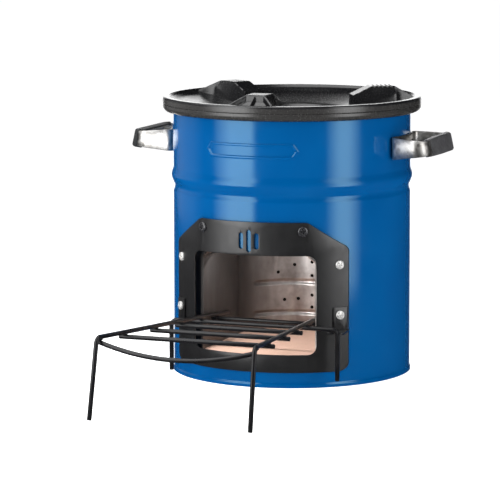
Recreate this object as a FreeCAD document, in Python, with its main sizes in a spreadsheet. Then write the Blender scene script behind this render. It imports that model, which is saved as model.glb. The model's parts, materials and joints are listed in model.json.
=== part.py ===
"""Rocket stove with a lift-out stick support, as a parametric FreeCAD document.

Frame: millimetres, +Z up, origin on the floor on the axis of the round body.
The fuel opening faces -Y, the two carrying handles stand out along +X and -X.
"""
import FreeCAD, Part
import math
import os

import Sketcher

Vector = FreeCAD.Vector
Rotation = FreeCAD.Rotation
Placement = FreeCAD.Placement

doc = FreeCAD.newDocument("RocketStove")

# ---------------------------------------------------------------- driving dimensions

DIMENSIONS = [
    # outer body, a painted sheet can
    ("body_radius", 120.0),
    ("body_sheet", 0.9),
    ("body_height", 264.0),
    ("hem_height", 4.0),
    ("hem_proud", 0.8),
    ("bead_low", 191.0),
    ("bead_high", 206.0),
    ("bead_proud", 2.0),
    ("neck_low", 184.5),
    ("neck_depth", 1.2),
    ("panel_width", 96.0),
    ("panel_height", 15.0),
    ("panel_level", 232.0),
    ("panel_border", 3.0),
    ("panel_proud", 0.9),
    ("body_cut_half", 66.0),
    ("body_cut_low", 30.0),
    ("body_cut_high", 133.0),
    # bottom pan and the insulation
    ("pan_flange", 8.0),
    ("pan_sheet", 1.0),
    ("block_top", 17.0),
    ("blanket_radius", 115.0),
    ("blanket_top", 248.0),
    # ceramic floor tile in its tray
    ("tray_sheet", 1.0),
    ("tile_top", 30.0),
    ("tile_front_radius", 116.0),
    # combustion chamber
    ("riser_radius", 60.0),
    ("riser_sheet", 1.0),
    ("riser_top", 252.0),
    ("rib_proud", 1.6),
    ("rib_half", 3.2),
    ("rib_level_low", 45.5),
    ("rib_level_high", 77.5),
    ("rib_zone_start", 30.9),
    ("air_hole", 3.6),
    # fuel chute
    ("chute_half", 59.5),
    ("chute_top", 132.0),
    ("chute_sheet", 1.0),
    ("chute_corner", 9.0),
    ("flange_half", 70.0),
    ("flange_radius", 108.5),
    # closing plate and cast-iron top
    ("lid_plate_level", 252.0),
    ("lid_plate_sheet", 1.0),
    ("collar_top", 269.2),
    ("collar_round", 6.0),
    ("top_radius", 130.0),
    ("top_height", 276.6),
    ("dish_radius", 124.0),
    ("dish_thickness", 5.0),
    ("dish_inner_level", 263.5),
    ("flue_radius", 52.0),
    ("spigot_radius", 58.4),
    ("spigot_low", 244.0),
    ("support_height", 285.0),
    ("support_half", 10.0),
    ("support_inner", 61.0),
    ("crest_inner", 80.0),
    ("crest_outer", 103.0),
    ("support_outer", 120.0),
    ("support_flare", 26.0),
    ("tooth_depth", 1.3),
    ("tooth_width", 1.8),
    # curved front frame and its brackets
    ("frame_sheet", 1.5),
    ("frame_half", 89.4),
    ("frame_top_half", 56.0),
    ("frame_low", 15.5),
    ("frame_high", 163.0),
    ("frame_shoulder", 137.5),
    ("opening_half", 63.7),
    ("opening_low", 33.0),
    ("opening_high", 130.5),
    ("corner_radius", 8.0),
    ("vent_level", 144.4),
    ("vent_slot", 4.6),
    ("vent_pitch", 8.0),
    ("vent_tall", 22.0),
    ("vent_short", 16.0),
    ("bracket_inner", 78.4),
    ("bracket_outer", 89.0),
    ("bracket_low", 55.2),
    ("bracket_high", 79.2),
    ("tongue_reach", 115.0),
    ("tongue_outer", 93.4),
    ("tongue_sheet", 1.5),
    # fasteners
    ("screw_head", 8.6),
    ("top_screw_head", 10.0),
    ("screw_head_height", 2.6),
    ("screw_shank", 4.8),
    ("screw_clearance", 5.2),
    ("nut_size", 8.0),
    ("nut_height", 3.0),
    ("screw_end", 115.6),
    ("rivet_head", 9.0),
    ("rivet_shank", 4.6),
    ("bolt_circle", 104.0),
    ("bolt_shank", 5.0),
    # carrying handles
    ("strap_sheet", 1.5),
    ("strap_level_low", 219.0),
    ("strap_level_high", 241.0),
    ("strap_mount_half", 30.0),
    ("strap_bend", 6.0),
    ("bar_reach", 154.0),
    ("bar_half", 48.0),
    ("bar_low", 224.6),
    ("bar_high", 239.0),
    ("bar_tilt", 12.0),
    ("grip_length", 84.0),
    ("grip_height", 18.4),
    ("grip_depth", 7.0),
    ("grip_wall", 1.4),
    ("grip_round", 2.4),
    # stick support, bent and welded wire
    ("wire", 4.5),
    ("foot_x", 79.6),
    ("foot_y", 325.6),
    ("shoulder_x", 78.1),
    ("shoulder_y", 310.0),
    ("shoulder_level", 75.6),
    ("rail_end_x", 49.0),
    ("rail_end_y", 52.0),
    ("rail_end_level", 61.3),
    ("rail_bend", 7.0),
    ("rung_overhang", 3.5),
    ("hoop_y", 109.0),
    ("hoop_half", 87.0),
    ("hoop_foot_level", 9.5),
    ("arc_y", 303.0),
    ("arc_drop", 12.0),
    ("arc_forward", 5.0),
]

sheet = doc.addObject("Spreadsheet::Sheet", "Sizes")
for row, (alias, size) in enumerate(DIMENSIONS, start=1):
    sheet.set("A%d" % row, alias)
    sheet.set("B%d" % row, str(size))
    sheet.setAlias("B%d" % row, alias)
doc.recompute()


def size_of(name):
    """Value of one driving dimension."""
    return float(getattr(sheet, name))


def value_of(expression):
    """Value of an arithmetic expression in the names of the driving dimensions."""
    return float(sheet.evalExpression(bound(expression)))


def bound(expression):
    """The same expression with every dimension name qualified by the sheet's name."""
    words = expression.replace("(", "( ").replace(")", " )").split()
    return " ".join("Sizes." + word if hasattr(sheet, word) else word for word in words)


# ---------------------------------------------------------------- modelling helpers

FRONT = "XZ_Plane"
PLAN = "XY_Plane"
SIDE = "YZ_Plane"


def origin_plane(body, role):
    return next(item for item in body.Origin.OriginFeatures if item.Role == role)


def new_body(label):
    body = doc.addObject("PartDesign::Body", label)
    body.Label = label
    return body


def new_sketch(body, plane, offset=None):
    sketch = body.newObject("Sketcher::SketchObject", body.Name + "_sketch")
    sketch.AttachmentSupport = [(origin_plane(body, plane), "")]
    sketch.MapMode = "FlatFace"
    if offset is not None:
        sketch.AttachmentOffset = Placement(Vector(0, 0, value_of(offset)), Rotation())
        sketch.setExpression("AttachmentOffset.Base.z", bound(offset))
    return sketch


def pin_coordinate(sketch, kind, vertex, expression):
    """Ties one coordinate of an outline's vertex to the driving dimensions."""
    size = value_of(expression)
    if abs(size) < 1e-9:
        axis = -2 if kind == "DistanceX" else -1
        sketch.addConstraint(Sketcher.Constraint("PointOnObject", vertex, 1, axis))
        return
    if size > 0:
        constraint = Sketcher.Constraint(kind, -1, 1, vertex, 1, size)
        text = bound(expression)
    else:
        constraint = Sketcher.Constraint(kind, vertex, 1, -1, 1, -size)
        text = "-1 * ( " + bound(expression) + " )"
    index = sketch.addConstraint(constraint)
    sketch.setExpression("Constraints[%d]" % index, text)


def add_outline(sketch, corners):
    """Closed polygon whose corners are pairs of expressions."""
    points = [Vector(value_of(across), value_of(up), 0) for across, up in corners]
    count = len(points)
    first = sketch.GeometryCount
    for index in range(count):
        sketch.addGeometry(Part.LineSegment(points[index], points[(index + 1) % count]))
    for index in range(count):
        following = first + (index + 1) % count
        sketch.addConstraint(Sketcher.Constraint("Coincident", first + index, 2, following, 1))
    for index, (across, up) in enumerate(corners):
        pin_coordinate(sketch, "DistanceX", first + index, across)
        pin_coordinate(sketch, "DistanceY", first + index, up)


def revolved_body(label, corners):
    """A round piece: its half section turned about the Z axis."""
    body = new_body(label)
    sketch = new_sketch(body, FRONT)
    add_outline(sketch, corners)
    feature = body.newObject("PartDesign::Revolution", label + "_turned")
    feature.Profile = sketch
    feature.ReferenceAxis = (sketch, ["V_Axis"])
    feature.Angle = 360.0
    return body


def padded_body(label, plane, corners, length, offset=None, midplane=False, reverse=False):
    """A prismatic piece: one outline padded by a length."""
    body = new_body(label)
    sketch = new_sketch(body, plane, offset)
    add_outline(sketch, corners)
    feature = body.newObject("PartDesign::Pad", label + "_pad")
    feature.Profile = sketch
    feature.Length = value_of(length)
    feature.setExpression("Length", bound(length))
    feature.Midplane = midplane
    feature.Reversed = reverse
    return body


def round_edges(body, radius, chosen):
    """Fillets the edges of a body's last feature that the test picks out."""
    doc.recompute()
    base = body.Tip
    names = ["Edge%d" % (index + 1) for index, edge in enumerate(base.Shape.Edges) if chosen(edge)]
    fillet = body.newObject("PartDesign::Fillet", body.Name + "_round")
    fillet.Base = (base, names)
    fillet.Radius = value_of(radius)
    fillet.setExpression("Radius", bound(radius))
    return body


def cylinder(name, radius, height, base=Vector(), direction=Vector(0, 0, 1)):
    item = doc.addObject("Part::Cylinder", name)
    item.Radius = value_of(radius)
    item.setExpression("Radius", bound(radius))
    item.Height = value_of(height)
    item.setExpression("Height", bound(height))
    item.Placement = Placement(base, Rotation(Vector(0, 0, 1), direction))
    return item


def block(name, lengths, base):
    """A box with three bound lengths and a bound corner."""
    item = doc.addObject("Part::Box", name)
    for side, expression in zip(("Length", "Width", "Height"), lengths):
        setattr(item, side, value_of(expression))
        item.setExpression(side, bound(expression))
    item.Placement = Placement(Vector(*[value_of(expression) for expression in base]), Rotation())
    for axis, expression in zip("xyz", base):
        item.setExpression("Placement.Base." + axis, bound(expression))
    return item


def cut(label, base, tools):
    """One piece with several tools taken out of it."""
    if len(tools) > 1:
        tool = doc.addObject("Part::MultiFuse", label + "_tools")
        tool.Shapes = tools
    else:
        tool = tools[0]
    item = doc.addObject("Part::Cut", label)
    item.Base = base
    item.Tool = tool
    item.Label = label
    return item


def fuse(label, shapes):
    item = doc.addObject("Part::MultiFuse", label)
    item.Shapes = shapes
    item.Label = label
    return item


def common(label, first, second):
    item = doc.addObject("Part::MultiCommon", label)
    item.Shapes = [first, second]
    item.Label = label
    return item


def ring(name, inner, outer, low, high):
    """A plain ring between two radii and two levels."""
    return revolved_body(name, [(inner, low), (outer, low), (outer, high), (inner, high)])


def solid_feature(label, shape):
    item = doc.addObject("Part::Feature", label)
    item.Label = label
    item.Shape = shape
    return item


def mirrored(label, source):
    """The same piece on the other side of the YZ plane."""
    item = doc.addObject("Part::Mirroring", label)
    item.Label = label
    item.Source = source
    item.Base = Vector()
    item.Normal = Vector(1, 0, 0)
    return item


def radial(angle, radius, level):
    """Point and outward direction at an angle from the front, positive towards +X."""
    turn = math.radians(angle)
    outward = Vector(math.sin(turn), -math.cos(turn), 0)
    return outward * radius + Vector(0, 0, level), outward


def rod(label, points, bend, diameter):
    """Round wire along straight runs joined by tangent arcs of one bend radius."""
    path = Part.Wire(bent_path(points, bend))
    start = path.OrderedEdges[0]
    section = Part.Wire(Part.Circle(start.valueAt(start.FirstParameter),
                                    start.tangentAt(start.FirstParameter), diameter / 2).toShape())
    shape = path.makePipeShell([section], True, True)
    return solid_feature(label, Part.Solid(shape) if shape.ShapeType == "Shell" else shape)


def bent_path(points, bend):
    """Edges of a path through the points, every inner corner turned into an arc."""
    edges = []
    last = points[0]
    for before, corner, after in zip(points, points[1:], points[2:]):
        back = (before - corner).normalize()
        ahead = (after - corner).normalize()
        half = back.getAngle(ahead) / 2
        reach = bend / math.tan(half)
        middle = corner + (back + ahead).normalize() * (bend / math.sin(half) - bend)
        edges.append(Part.LineSegment(last, corner + back * reach).toShape())
        edges.append(Part.Arc(corner + back * reach, middle, corner + ahead * reach).toShape())
        last = corner + ahead * reach
    edges.append(Part.LineSegment(last, points[-1]).toShape())
    return edges


def placed(shape, origin, outward):
    """A copy of a fastener made along +Z, moved so that +Z points outwards."""
    copy = shape.copy()
    copy.Placement = Placement(origin, Rotation(Vector(0, 0, 1), outward))
    return copy


# ---------------------------------------------------------------- positions that repeat

SCREW_PLACES = {
    "dark": [(-25.2, 154.5), (25.2, 154.5)],
    "side": [(-42.5, 121.0), (42.5, 121.0)],
    "bracket": [(-42.5, 71.7), (42.5, 71.7)],
}
HANDLE_RIVET_PLACES = [(angle, 230.0) for angle in (-100.0, -80.0, 80.0, 100.0)]
# polar angle from the back of the chamber and level of every air hole
AIR_HOLES = [(0.0, 98.2), (0.0, 84.1), (0.0, 63.7), (0.0, 51.2)]
AIR_HOLES += [(side * angle, level) for side in (-1, 1)
              for angle, level in ((17.5, 95.1), (33.7, 87.5), (13.8, 59.6), (27.4, 58.6))]
SUPPORT_ANGLES = (30.0, 150.0, 270.0)
BOLT_ANGLES = (90.0, 210.0, 330.0)
RUNG_DEPTHS = (258.1, 199.0, 149.5, 76.0)


def radial_holes(name, places, diameter, depth_from, depth):
    """Drills that point outwards through a round wall."""
    drills = []
    for number, (angle, level) in enumerate(places, start=1):
        start, outward = radial(angle, size_of(depth_from), level)
        start = start - outward * depth / 2
        item = cylinder("%s_%d" % (name, number), diameter + " / 2", str(depth), start, outward)
        drills.append(item)
    return drills


# ---------------------------------------------------------------- outer body

def make_body_shell():
    """Sheet can with a hemmed foot, one swage bead with a neck below it, and a blank panel."""
    inner = "body_radius - body_sheet"
    outer = "body_radius"
    proud = "body_radius + bead_proud"
    necked = "body_radius - neck_depth"
    wall = [
        (inner, "0"),
        ("body_radius + hem_proud", "0"),
        ("body_radius + hem_proud", "hem_height"),
        (outer, "hem_height + 1"),
        (outer, "neck_low - 2"),
        (necked, "neck_low + 1.5"),
        (necked, "bead_low - 2"),
        (proud, "bead_low + 4.5"),
        (proud, "bead_high - 4.5"),
        (outer, "bead_high + 1"),
        (outer, "body_height"),
        (inner, "body_height"),
        (inner, "bead_high + 1"),
        (proud + " - body_sheet", "bead_high - 5"),
        (proud + " - body_sheet", "bead_low + 5"),
        (necked + " - body_sheet", "bead_low - 2"),
        (necked + " - body_sheet", "neck_low + 1.5"),
        (inner, "neck_low - 2"),
    ]
    can = revolved_body("body_can", wall)
    raised = padded_body("panel_outline", FRONT, panel_corners("0"), "body_radius + 20")
    hollow = padded_body("panel_hollow", FRONT, panel_corners("panel_border"), "body_radius + 20")
    frame = cut("panel_border_prism", raised, [hollow])
    band = ring("panel_band", "body_radius - 0.3", "body_radius + panel_proud",
                "panel_level - 20", "panel_level + 20")
    panel = common("panel_raised", frame, band)
    whole = fuse("body_can_with_panel", [can, panel])
    opening = block("body_opening", ("2 * body_cut_half", "60", "body_cut_high - body_cut_low"),
                    ("-1 * body_cut_half", "-1 * body_radius - 20", "body_cut_low"))
    places = SCREW_PLACES["dark"] + SCREW_PLACES["side"] + SCREW_PLACES["bracket"]
    holes = radial_holes("body_screw_hole", places, "screw_clearance", "body_radius", 12)
    holes += radial_holes("body_rivet_hole", HANDLE_RIVET_PLACES, "rivet_shank", "body_radius", 12)
    return cut("body_shell", whole, [opening] + holes)


def panel_corners(inset):
    """Long panel outline with chamfered ends, drawn in the front view."""
    half = "panel_width / 2 - " + inset
    rise = "panel_height / 2 - " + inset
    nose = "panel_height / 3"
    return [
        ("-1 * ( " + half + " )", "panel_level"),
        ("-1 * ( " + half + " ) + " + nose, "panel_level - ( " + rise + " )"),
        (half + " - " + nose, "panel_level - ( " + rise + " )"),
        (half, "panel_level"),
        (half + " - " + nose, "panel_level + ( " + rise + " )"),
        ("-1 * ( " + half + " ) + " + nose, "panel_level + ( " + rise + " )"),
    ]


def make_base_pan():
    """Flanged disc that closes the can at the floor, its flange turned up inside the wall."""
    outer = "body_radius - body_sheet"
    return revolved_body("base_pan", [
        ("0", "0"), (outer, "0"), (outer, "pan_flange"), (outer + " - pan_sheet", "pan_flange"),
        (outer + " - pan_sheet", "pan_sheet"), ("0", "pan_sheet")])


def make_base_insulation():
    return revolved_body("base_insulation", [
        ("0", "pan_sheet"), ("blanket_radius", "pan_sheet"),
        ("blanket_radius", "block_top"), ("0", "block_top")])


# ---------------------------------------------------------------- combustion chamber

def chamber_plan(label, half, front_radius, low, high):
    """Plate with straight sides, a half-round back and a front that follows the can."""
    height = high + " - ( " + low + " )"
    straight = block(label + "_straight", ("2 * ( " + half + " )", "body_radius", height),
                     ("-1 * ( " + half + " )", "-1 * body_radius", low))
    back = cylinder(label + "_back", half, height)
    back.setExpression("Placement.Base.z", bound(low))
    limit = cylinder(label + "_limit", front_radius, "body_height")
    return common(label, fuse(label + "_plan", [straight, back]), limit)


def make_tile_tray():
    return chamber_plan("tile_tray", "riser_radius + riser_sheet", "tile_front_radius + 1",
                        "block_top", "block_top + tray_sheet")


def make_ceramic_tile():
    return chamber_plan("ceramic_tile", "chute_half - 0.5", "tile_front_radius",
                        "block_top + tray_sheet", "tile_top")


def riser_wall(name, ribs):
    """Sheet tube of the flue; the ribs are extra points of its half section."""
    inner_side = [("riser_radius", "block_top + tray_sheet")] + ribs + [("riser_radius", "riser_top")]
    outer_side = [(radius + " + riser_sheet", level) for radius, level in inner_side]
    return revolved_body(name, inner_side + outer_side[::-1])


def make_riser():
    """Flue tube, ribbed and drilled at its back, cut away in front where the chute enters."""
    ribs = []
    for level in ("rib_level_low", "rib_level_high"):
        ribs += [("riser_radius", level + " - rib_half"), ("riser_radius + rib_proud", level),
                 ("riser_radius", level + " + rib_half")]
    rear_zone = block("riser_rear_zone", ("3 * riser_radius", "riser_radius", "body_height"),
                      ("-1.5 * riser_radius", "rib_zone_start", "0"))
    front = cut("riser_front_half", riser_wall("riser_plain", []), [rear_zone])
    rear = common("riser_rear_half", riser_wall("riser_ribbed", ribs), rear_zone)
    window = block("riser_window", ("2 * chute_half - 1", "riser_radius + 10", "chute_top - block_top"),
                   ("-1 * chute_half + 0.5", "-1 * riser_radius - 10", "block_top"))
    holes = []
    for number, (angle, level) in enumerate(AIR_HOLES, start=1):
        start, outward = radial(180.0 - angle, size_of("riser_radius") - 5, level)
        holes.append(cylinder("air_hole_%d" % number, "air_hole / 2", "15", start, outward))
    return cut("riser_liner", fuse("riser_tube", [front, rear]), [window] + holes)


def chute_corners(half, top, corner, low="block_top + tray_sheet"):
    """Front view of the chute: straight sides, flat roof, chamfered top corners."""
    return [
        ("-1 * ( " + half + " )", low),
        (half, low),
        (half, top + " - " + corner),
        (half + " - " + corner, top),
        ("-1 * ( " + half + " ) + " + corner, top),
        ("-1 * ( " + half + " )", top + " - " + corner),
    ]


def make_chute():
    """Sheet duct from the fuel opening to the riser, with a turned-out front flange."""
    outer = padded_body("chute_outer", FRONT, chute_corners(
        "chute_half + chute_sheet", "chute_top", "chute_corner"), "body_radius")
    inner = padded_body("chute_inner", FRONT, chute_corners(
        "chute_half", "chute_top - chute_sheet", "chute_corner", "0"), "body_radius")
    reach = ring("chute_reach", "riser_radius + riser_sheet + 0.2",
                 "flange_radius", "block_top", "chute_top + 20")
    duct = common("chute_duct", cut("chute_hollow", outer, [inner]), reach)
    flange_outer = padded_body("flange_outer", FRONT, chute_corners(
        "flange_half", "chute_top + 7", "chute_corner", "block_top + 6"), "body_radius")
    flange_inner = padded_body("flange_inner", FRONT, chute_corners(
        "chute_half", "chute_top - chute_sheet", "chute_corner", "0"), "body_radius")
    flange_band = ring("flange_band", "flange_radius - chute_sheet", "flange_radius",
                       "block_top", "chute_top + 20")
    flange = common("chute_flange", cut("flange_plate", flange_outer, [flange_inner]), flange_band)
    return fuse("fuel_chute", [duct, flange])


def make_insulation():
    """Fibre blanket that fills the space between the chamber and the can."""
    blanket = ring("blanket_ring", "riser_radius + riser_sheet + rib_proud + 0.4",
                   "blanket_radius", "block_top", "blanket_top")
    passage = block("blanket_passage",
                    ("2 * chute_half + 4", "body_radius", "chute_top - block_top + 2"),
                    ("-1 * chute_half - 2", "-1 * body_radius", "block_top"))
    rebate = block("blanket_rebate",
                   ("2 * flange_half + 4", "48", "chute_top - block_top + 10"),
                   ("-1 * flange_half - 2", "-1 * body_radius", "block_top"))
    return cut("insulation_blanket", blanket, [passage, rebate])


# ---------------------------------------------------------------- top

def make_lid_plate():
    """Annular sheet over the blanket, drilled for the three tie bolts."""
    inner = "riser_radius + riser_sheet + 0.3"
    outer = "body_radius - body_sheet"
    top = "lid_plate_level + lid_plate_sheet"
    plate = revolved_body("lid_plate_disc", [
        (inner, "lid_plate_level"), (outer, "lid_plate_level"), (outer, "lid_plate_level + 9"),
        (outer + " - lid_plate_sheet", "lid_plate_level + 9"),
        (outer + " - lid_plate_sheet", top), (inner, top)])
    return cut("lid_plate", plate, bolt_drills("lid_bolt_hole", "bolt_shank / 2 + 0.3"))


def bolt_drills(name, radius):
    drills = []
    for number, angle in enumerate(BOLT_ANGLES, start=1):
        turn = math.radians(angle)
        reach = size_of("bolt_circle")
        base = Vector(reach * math.cos(turn), reach * math.sin(turn), size_of("lid_plate_level") - 6)
        drills.append(cylinder("%s_%d" % (name, number), radius, "15.5", base))
    return drills


def make_collar():
    """Lower ring of the top: sits on the can's rim and covers it on the outside."""
    skirt = "body_radius + 0.6"
    low = "body_height - 2.5"
    body = revolved_body("top_collar", [
        ("body_radius - 7", "body_height"), (skirt, "body_height"), (skirt, low),
        ("top_radius", low), ("top_radius", "collar_top"), ("body_radius - 7", "collar_top")])
    radius = size_of("top_radius")
    level = value_of(low)

    def lower_rim(edge):
        centre = edge.CenterOfMass
        return (abs(centre.z - level) < 0.01 and len(edge.Vertexes) == 1
                and abs(edge.Vertexes[0].Point.Length ** 2 - radius ** 2 - level ** 2) < 1.0)

    return round_edges(body, "collar_round", lower_rim)


def support_section(reach, half_low, low, half_high, high):
    """Upright four-cornered wire across a pot support at one distance from the axis."""
    points = [Vector(reach, -half_low, low), Vector(reach, half_low, low),
              Vector(reach, half_high, high), Vector(reach, -half_high, high)]
    return Part.makePolygon(points + points[:1])


def dish_floor(reach):
    """Level of the dish's sloping floor at a distance from the axis."""
    inner, outer = value_of("spigot_radius + 6"), value_of("dish_radius - 6")
    low, high = value_of("dish_inner_level"), value_of("top_height - 4.6")
    return low + (high - low) * max(0.0, reach - inner) / (outer - inner)


def pot_support():
    """One tent-shaped pot support along +X: flared flanks, toothed crest, two outer pockets."""
    half = size_of("support_half")
    flare = size_of("support_flare")
    crest = size_of("support_height")
    rim = size_of("top_height")
    stations = [
        (size_of("support_inner"), half + 3, half + 1, crest - 9),
        (size_of("crest_inner"), half + 5, half, crest),
        (size_of("crest_outer"), half + 11, half, crest),
        (size_of("support_outer"), flare + 1, flare, rim - 2),
    ]
    sections = [support_section(reach, half_low, dish_floor(reach) - 1.2, half_high, high)
                for reach, half_low, half_high, high in stations]
    tent = Part.makeLoft(sections, True, True)
    for side in (-1, 1):
        tent = tent.cut(support_pocket(side))
    return tent.cut(Part.makeCompound(crest_teeth()))


def support_pocket(side):
    """Sunk triangle between the middle rib and one outer edge of a pot support."""
    crest = size_of("support_height")
    start = size_of("crest_outer") + 1.5
    end = size_of("support_outer") + 2
    middle_rib = 2.4
    edge_rib = 3.4
    near = size_of("support_half") - edge_rib
    far = size_of("support_flare") - edge_rib
    floor_near = crest - 3.5
    floor_far = size_of("top_height") - 8.5
    corners = [(start, middle_rib, floor_near), (start, near, floor_near),
               (end, far, floor_far), (end, middle_rib, floor_far)]
    low = [Vector(x, side * y, z) for x, y, z in corners]
    high = [Vector(x, side * y, crest + 5) for x, y, z in corners]
    return Part.makeLoft([Part.makePolygon(low + low[:1]), Part.makePolygon(high + high[:1])],
                         True, True)


def crest_teeth():
    """Shallow grooves across the crest that leave five gripping teeth."""
    width = size_of("tooth_width")
    depth = size_of("tooth_depth")
    half = size_of("support_half") + 4
    crest = size_of("support_height")
    first = size_of("crest_inner") + 1.6
    pitch = (size_of("crest_outer") - first) / 5
    return [Part.makeBox(width, 2 * half, depth + 1,
                         Vector(first + pitch * number, -half, crest - depth))
            for number in range(5)]


def make_cast_top():
    """Dished cast-iron top with a flue spigot and three pot supports cast on."""
    under = "dish_inner_level - dish_thickness"
    dish = revolved_body("cast_dish", [
        ("body_radius - 9", "collar_top"),
        ("top_radius", "collar_top"),
        ("top_radius", "top_height - 1"),
        ("top_radius - 1", "top_height"),
        ("dish_radius + 2", "top_height"),
        ("dish_radius", "top_height - 2.2"),
        ("dish_radius - 6", "top_height - 4.6"),
        ("spigot_radius + 6", "dish_inner_level"),
        ("spigot_radius", "dish_inner_level - 1"),
        ("flue_radius", "dish_inner_level - 6"),
        ("flue_radius", "spigot_low"),
        ("spigot_radius", "spigot_low"),
        ("spigot_radius", under + " - 2"),
        ("spigot_radius + 4", under),
        ("body_radius - 9", "top_height - 4.6 - dish_thickness - 1"),
    ])
    supports = []
    for number, angle in enumerate(SUPPORT_ANGLES, start=1):
        item = solid_feature("pot_support_%d" % number, pot_support())
        item.Placement = Placement(Vector(), Rotation(Vector(0, 0, 1), angle))
        supports.append(item)
    bosses = []
    for number, angle in enumerate(BOLT_ANGLES, start=1):
        turn = math.radians(angle)
        reach = size_of("bolt_circle")
        base = Vector(reach * math.cos(turn), reach * math.sin(turn),
                      value_of("lid_plate_level + lid_plate_sheet"))
        bosses.append(cylinder("bolt_boss_%d" % number, "6", "13", base))
    blank = fuse("cast_blank", [dish] + supports + bosses)
    return cut("cast_top", blank, bolt_drills("boss_hole", "bolt_shank / 2"))


def make_tie_bolts():
    """Three hexagon bolts from below the lid plate into the bosses of the casting."""
    head_height = 3.5
    reach = size_of("bolt_circle")
    level = size_of("lid_plate_level")
    bolts = []
    for angle in BOLT_ANGLES:
        turn = math.radians(angle)
        base = Vector(reach * math.cos(turn), reach * math.sin(turn), level - head_height)
        head = hexagon(size_of("nut_size"), head_height)
        shank = Part.makeCylinder(size_of("bolt_shank") / 2, 8.5, Vector(0, 0, head_height))
        bolt = head.fuse(shank)
        bolt.Placement = Placement(base, Rotation())
        bolts.append(bolt)
    return solid_feature("tie_bolts", Part.makeCompound(bolts))


# ---------------------------------------------------------------- front frame

def frame_corners():
    """Front view of the frame plate: flat top, sloping shoulders, straight sides."""
    return [
        ("-1 * frame_half", "frame_low"),
        ("frame_half", "frame_low"),
        ("frame_half", "frame_shoulder"),
        ("frame_top_half", "frame_high"),
        ("-1 * frame_top_half", "frame_high"),
        ("-1 * frame_half", "frame_shoulder"),
    ]


def opening_corners():
    return [
        ("-1 * opening_half", "opening_low"),
        ("opening_half", "opening_low"),
        ("opening_half", "opening_high"),
        ("-1 * opening_half", "opening_high"),
    ]


def along_y(edge):
    """True for the straight edges that run front to back, at an outline's corners."""
    ends = [vertex.Point for vertex in edge.Vertexes]
    return len(ends) == 2 and abs(ends[0].x - ends[1].x) < 0.01 and abs(ends[0].z - ends[1].z) < 0.01


def vent_slot(name, offset, height):
    """One upright slot of the vent above the opening."""
    body = padded_body(name, FRONT, [
        (offset + " - vent_slot / 2", "vent_level - " + height + " / 2"),
        (offset + " + vent_slot / 2", "vent_level - " + height + " / 2"),
        (offset + " + vent_slot / 2", "vent_level + " + height + " / 2"),
        (offset + " - vent_slot / 2", "vent_level + " + height + " / 2")], "body_radius + 20")
    return round_edges(body, "vent_slot / 2.1", along_y)


def make_front_frame():
    """Curved plate round the fuel opening, with a generic three-slot vent above it."""
    outline = round_edges(padded_body("frame_outline", FRONT, frame_corners(), "body_radius + 20"),
                          "corner_radius", along_y)
    opening = round_edges(padded_body("frame_opening", FRONT, opening_corners(), "body_radius + 20"),
                          "corner_radius", along_y)
    slots = [vent_slot("vent_slot_left", "-1 * vent_pitch", "vent_short"),
             vent_slot("vent_slot_middle", "0 * vent_pitch", "vent_tall"),
             vent_slot("vent_slot_right", "vent_pitch", "vent_short")]
    places = SCREW_PLACES["dark"] + SCREW_PLACES["side"] + SCREW_PLACES["bracket"]
    holes = radial_holes("frame_screw_hole", places, "screw_clearance", "body_radius", 14)
    flat = cut("frame_flat", outline, [opening] + slots + holes)
    band = ring("frame_band", "body_radius + hem_proud", "body_radius + hem_proud + frame_sheet",
                "0", "200")
    return common("front_frame", flat, band)


def make_bracket():
    """Right-hand hook bracket: a tab under the lower screw and a notched tongue for the wire."""
    face = "body_radius + hem_proud + frame_sheet"
    tab = padded_body("bracket_tab", FRONT, [
        ("bracket_inner", "bracket_low"),
        ("bracket_outer", "bracket_low"),
        ("bracket_outer", "bracket_high"),
        ("bracket_inner", "bracket_high")], "body_radius + 20")
    band = ring("bracket_band", face, face + " + tongue_sheet", "bracket_low - 5", "bracket_high + 5")
    upright = common("bracket_upright", tab, band)
    notch_left = "hoop_half - wire / 2 - 3"
    notch_right = "hoop_half + wire / 2 + 1"
    tongue_blank = padded_body("bracket_tongue_blank", PLAN, [
        ("bracket_inner", "-60"),
        ("bracket_inner", "-1 * tongue_reach"),
        (notch_left, "-1 * tongue_reach"),
        (notch_left, "-1 * hoop_y + wire"),
        (notch_right, "-1 * hoop_y + wire"),
        (notch_right, "-1 * tongue_reach"),
        ("tongue_outer", "-1 * tongue_reach + 4"),
        ("tongue_outer - 3", "-60"),
    ], "tongue_sheet", offset="bracket_low")
    inside = cylinder("bracket_inside", face, "200")
    tongue = cut("bracket_tongue", tongue_blank, [inside])
    whole = fuse("bracket_whole", [upright, tongue])
    hole = radial_holes("bracket_hole", SCREW_PLACES["bracket"][1:], "screw_clearance",
                        "body_radius", 16)
    return cut("bracket_right", whole, hole)


# ---------------------------------------------------------------- fasteners

def hexagon(across_flats, height):
    radius = across_flats / math.sqrt(3)
    points = [Vector(radius * math.cos(math.radians(60 * side)),
                     radius * math.sin(math.radians(60 * side)), 0) for side in range(6)]
    face = Part.Face(Part.makePolygon(points + points[:1]))
    return face.extrude(Vector(0, 0, height))


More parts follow.
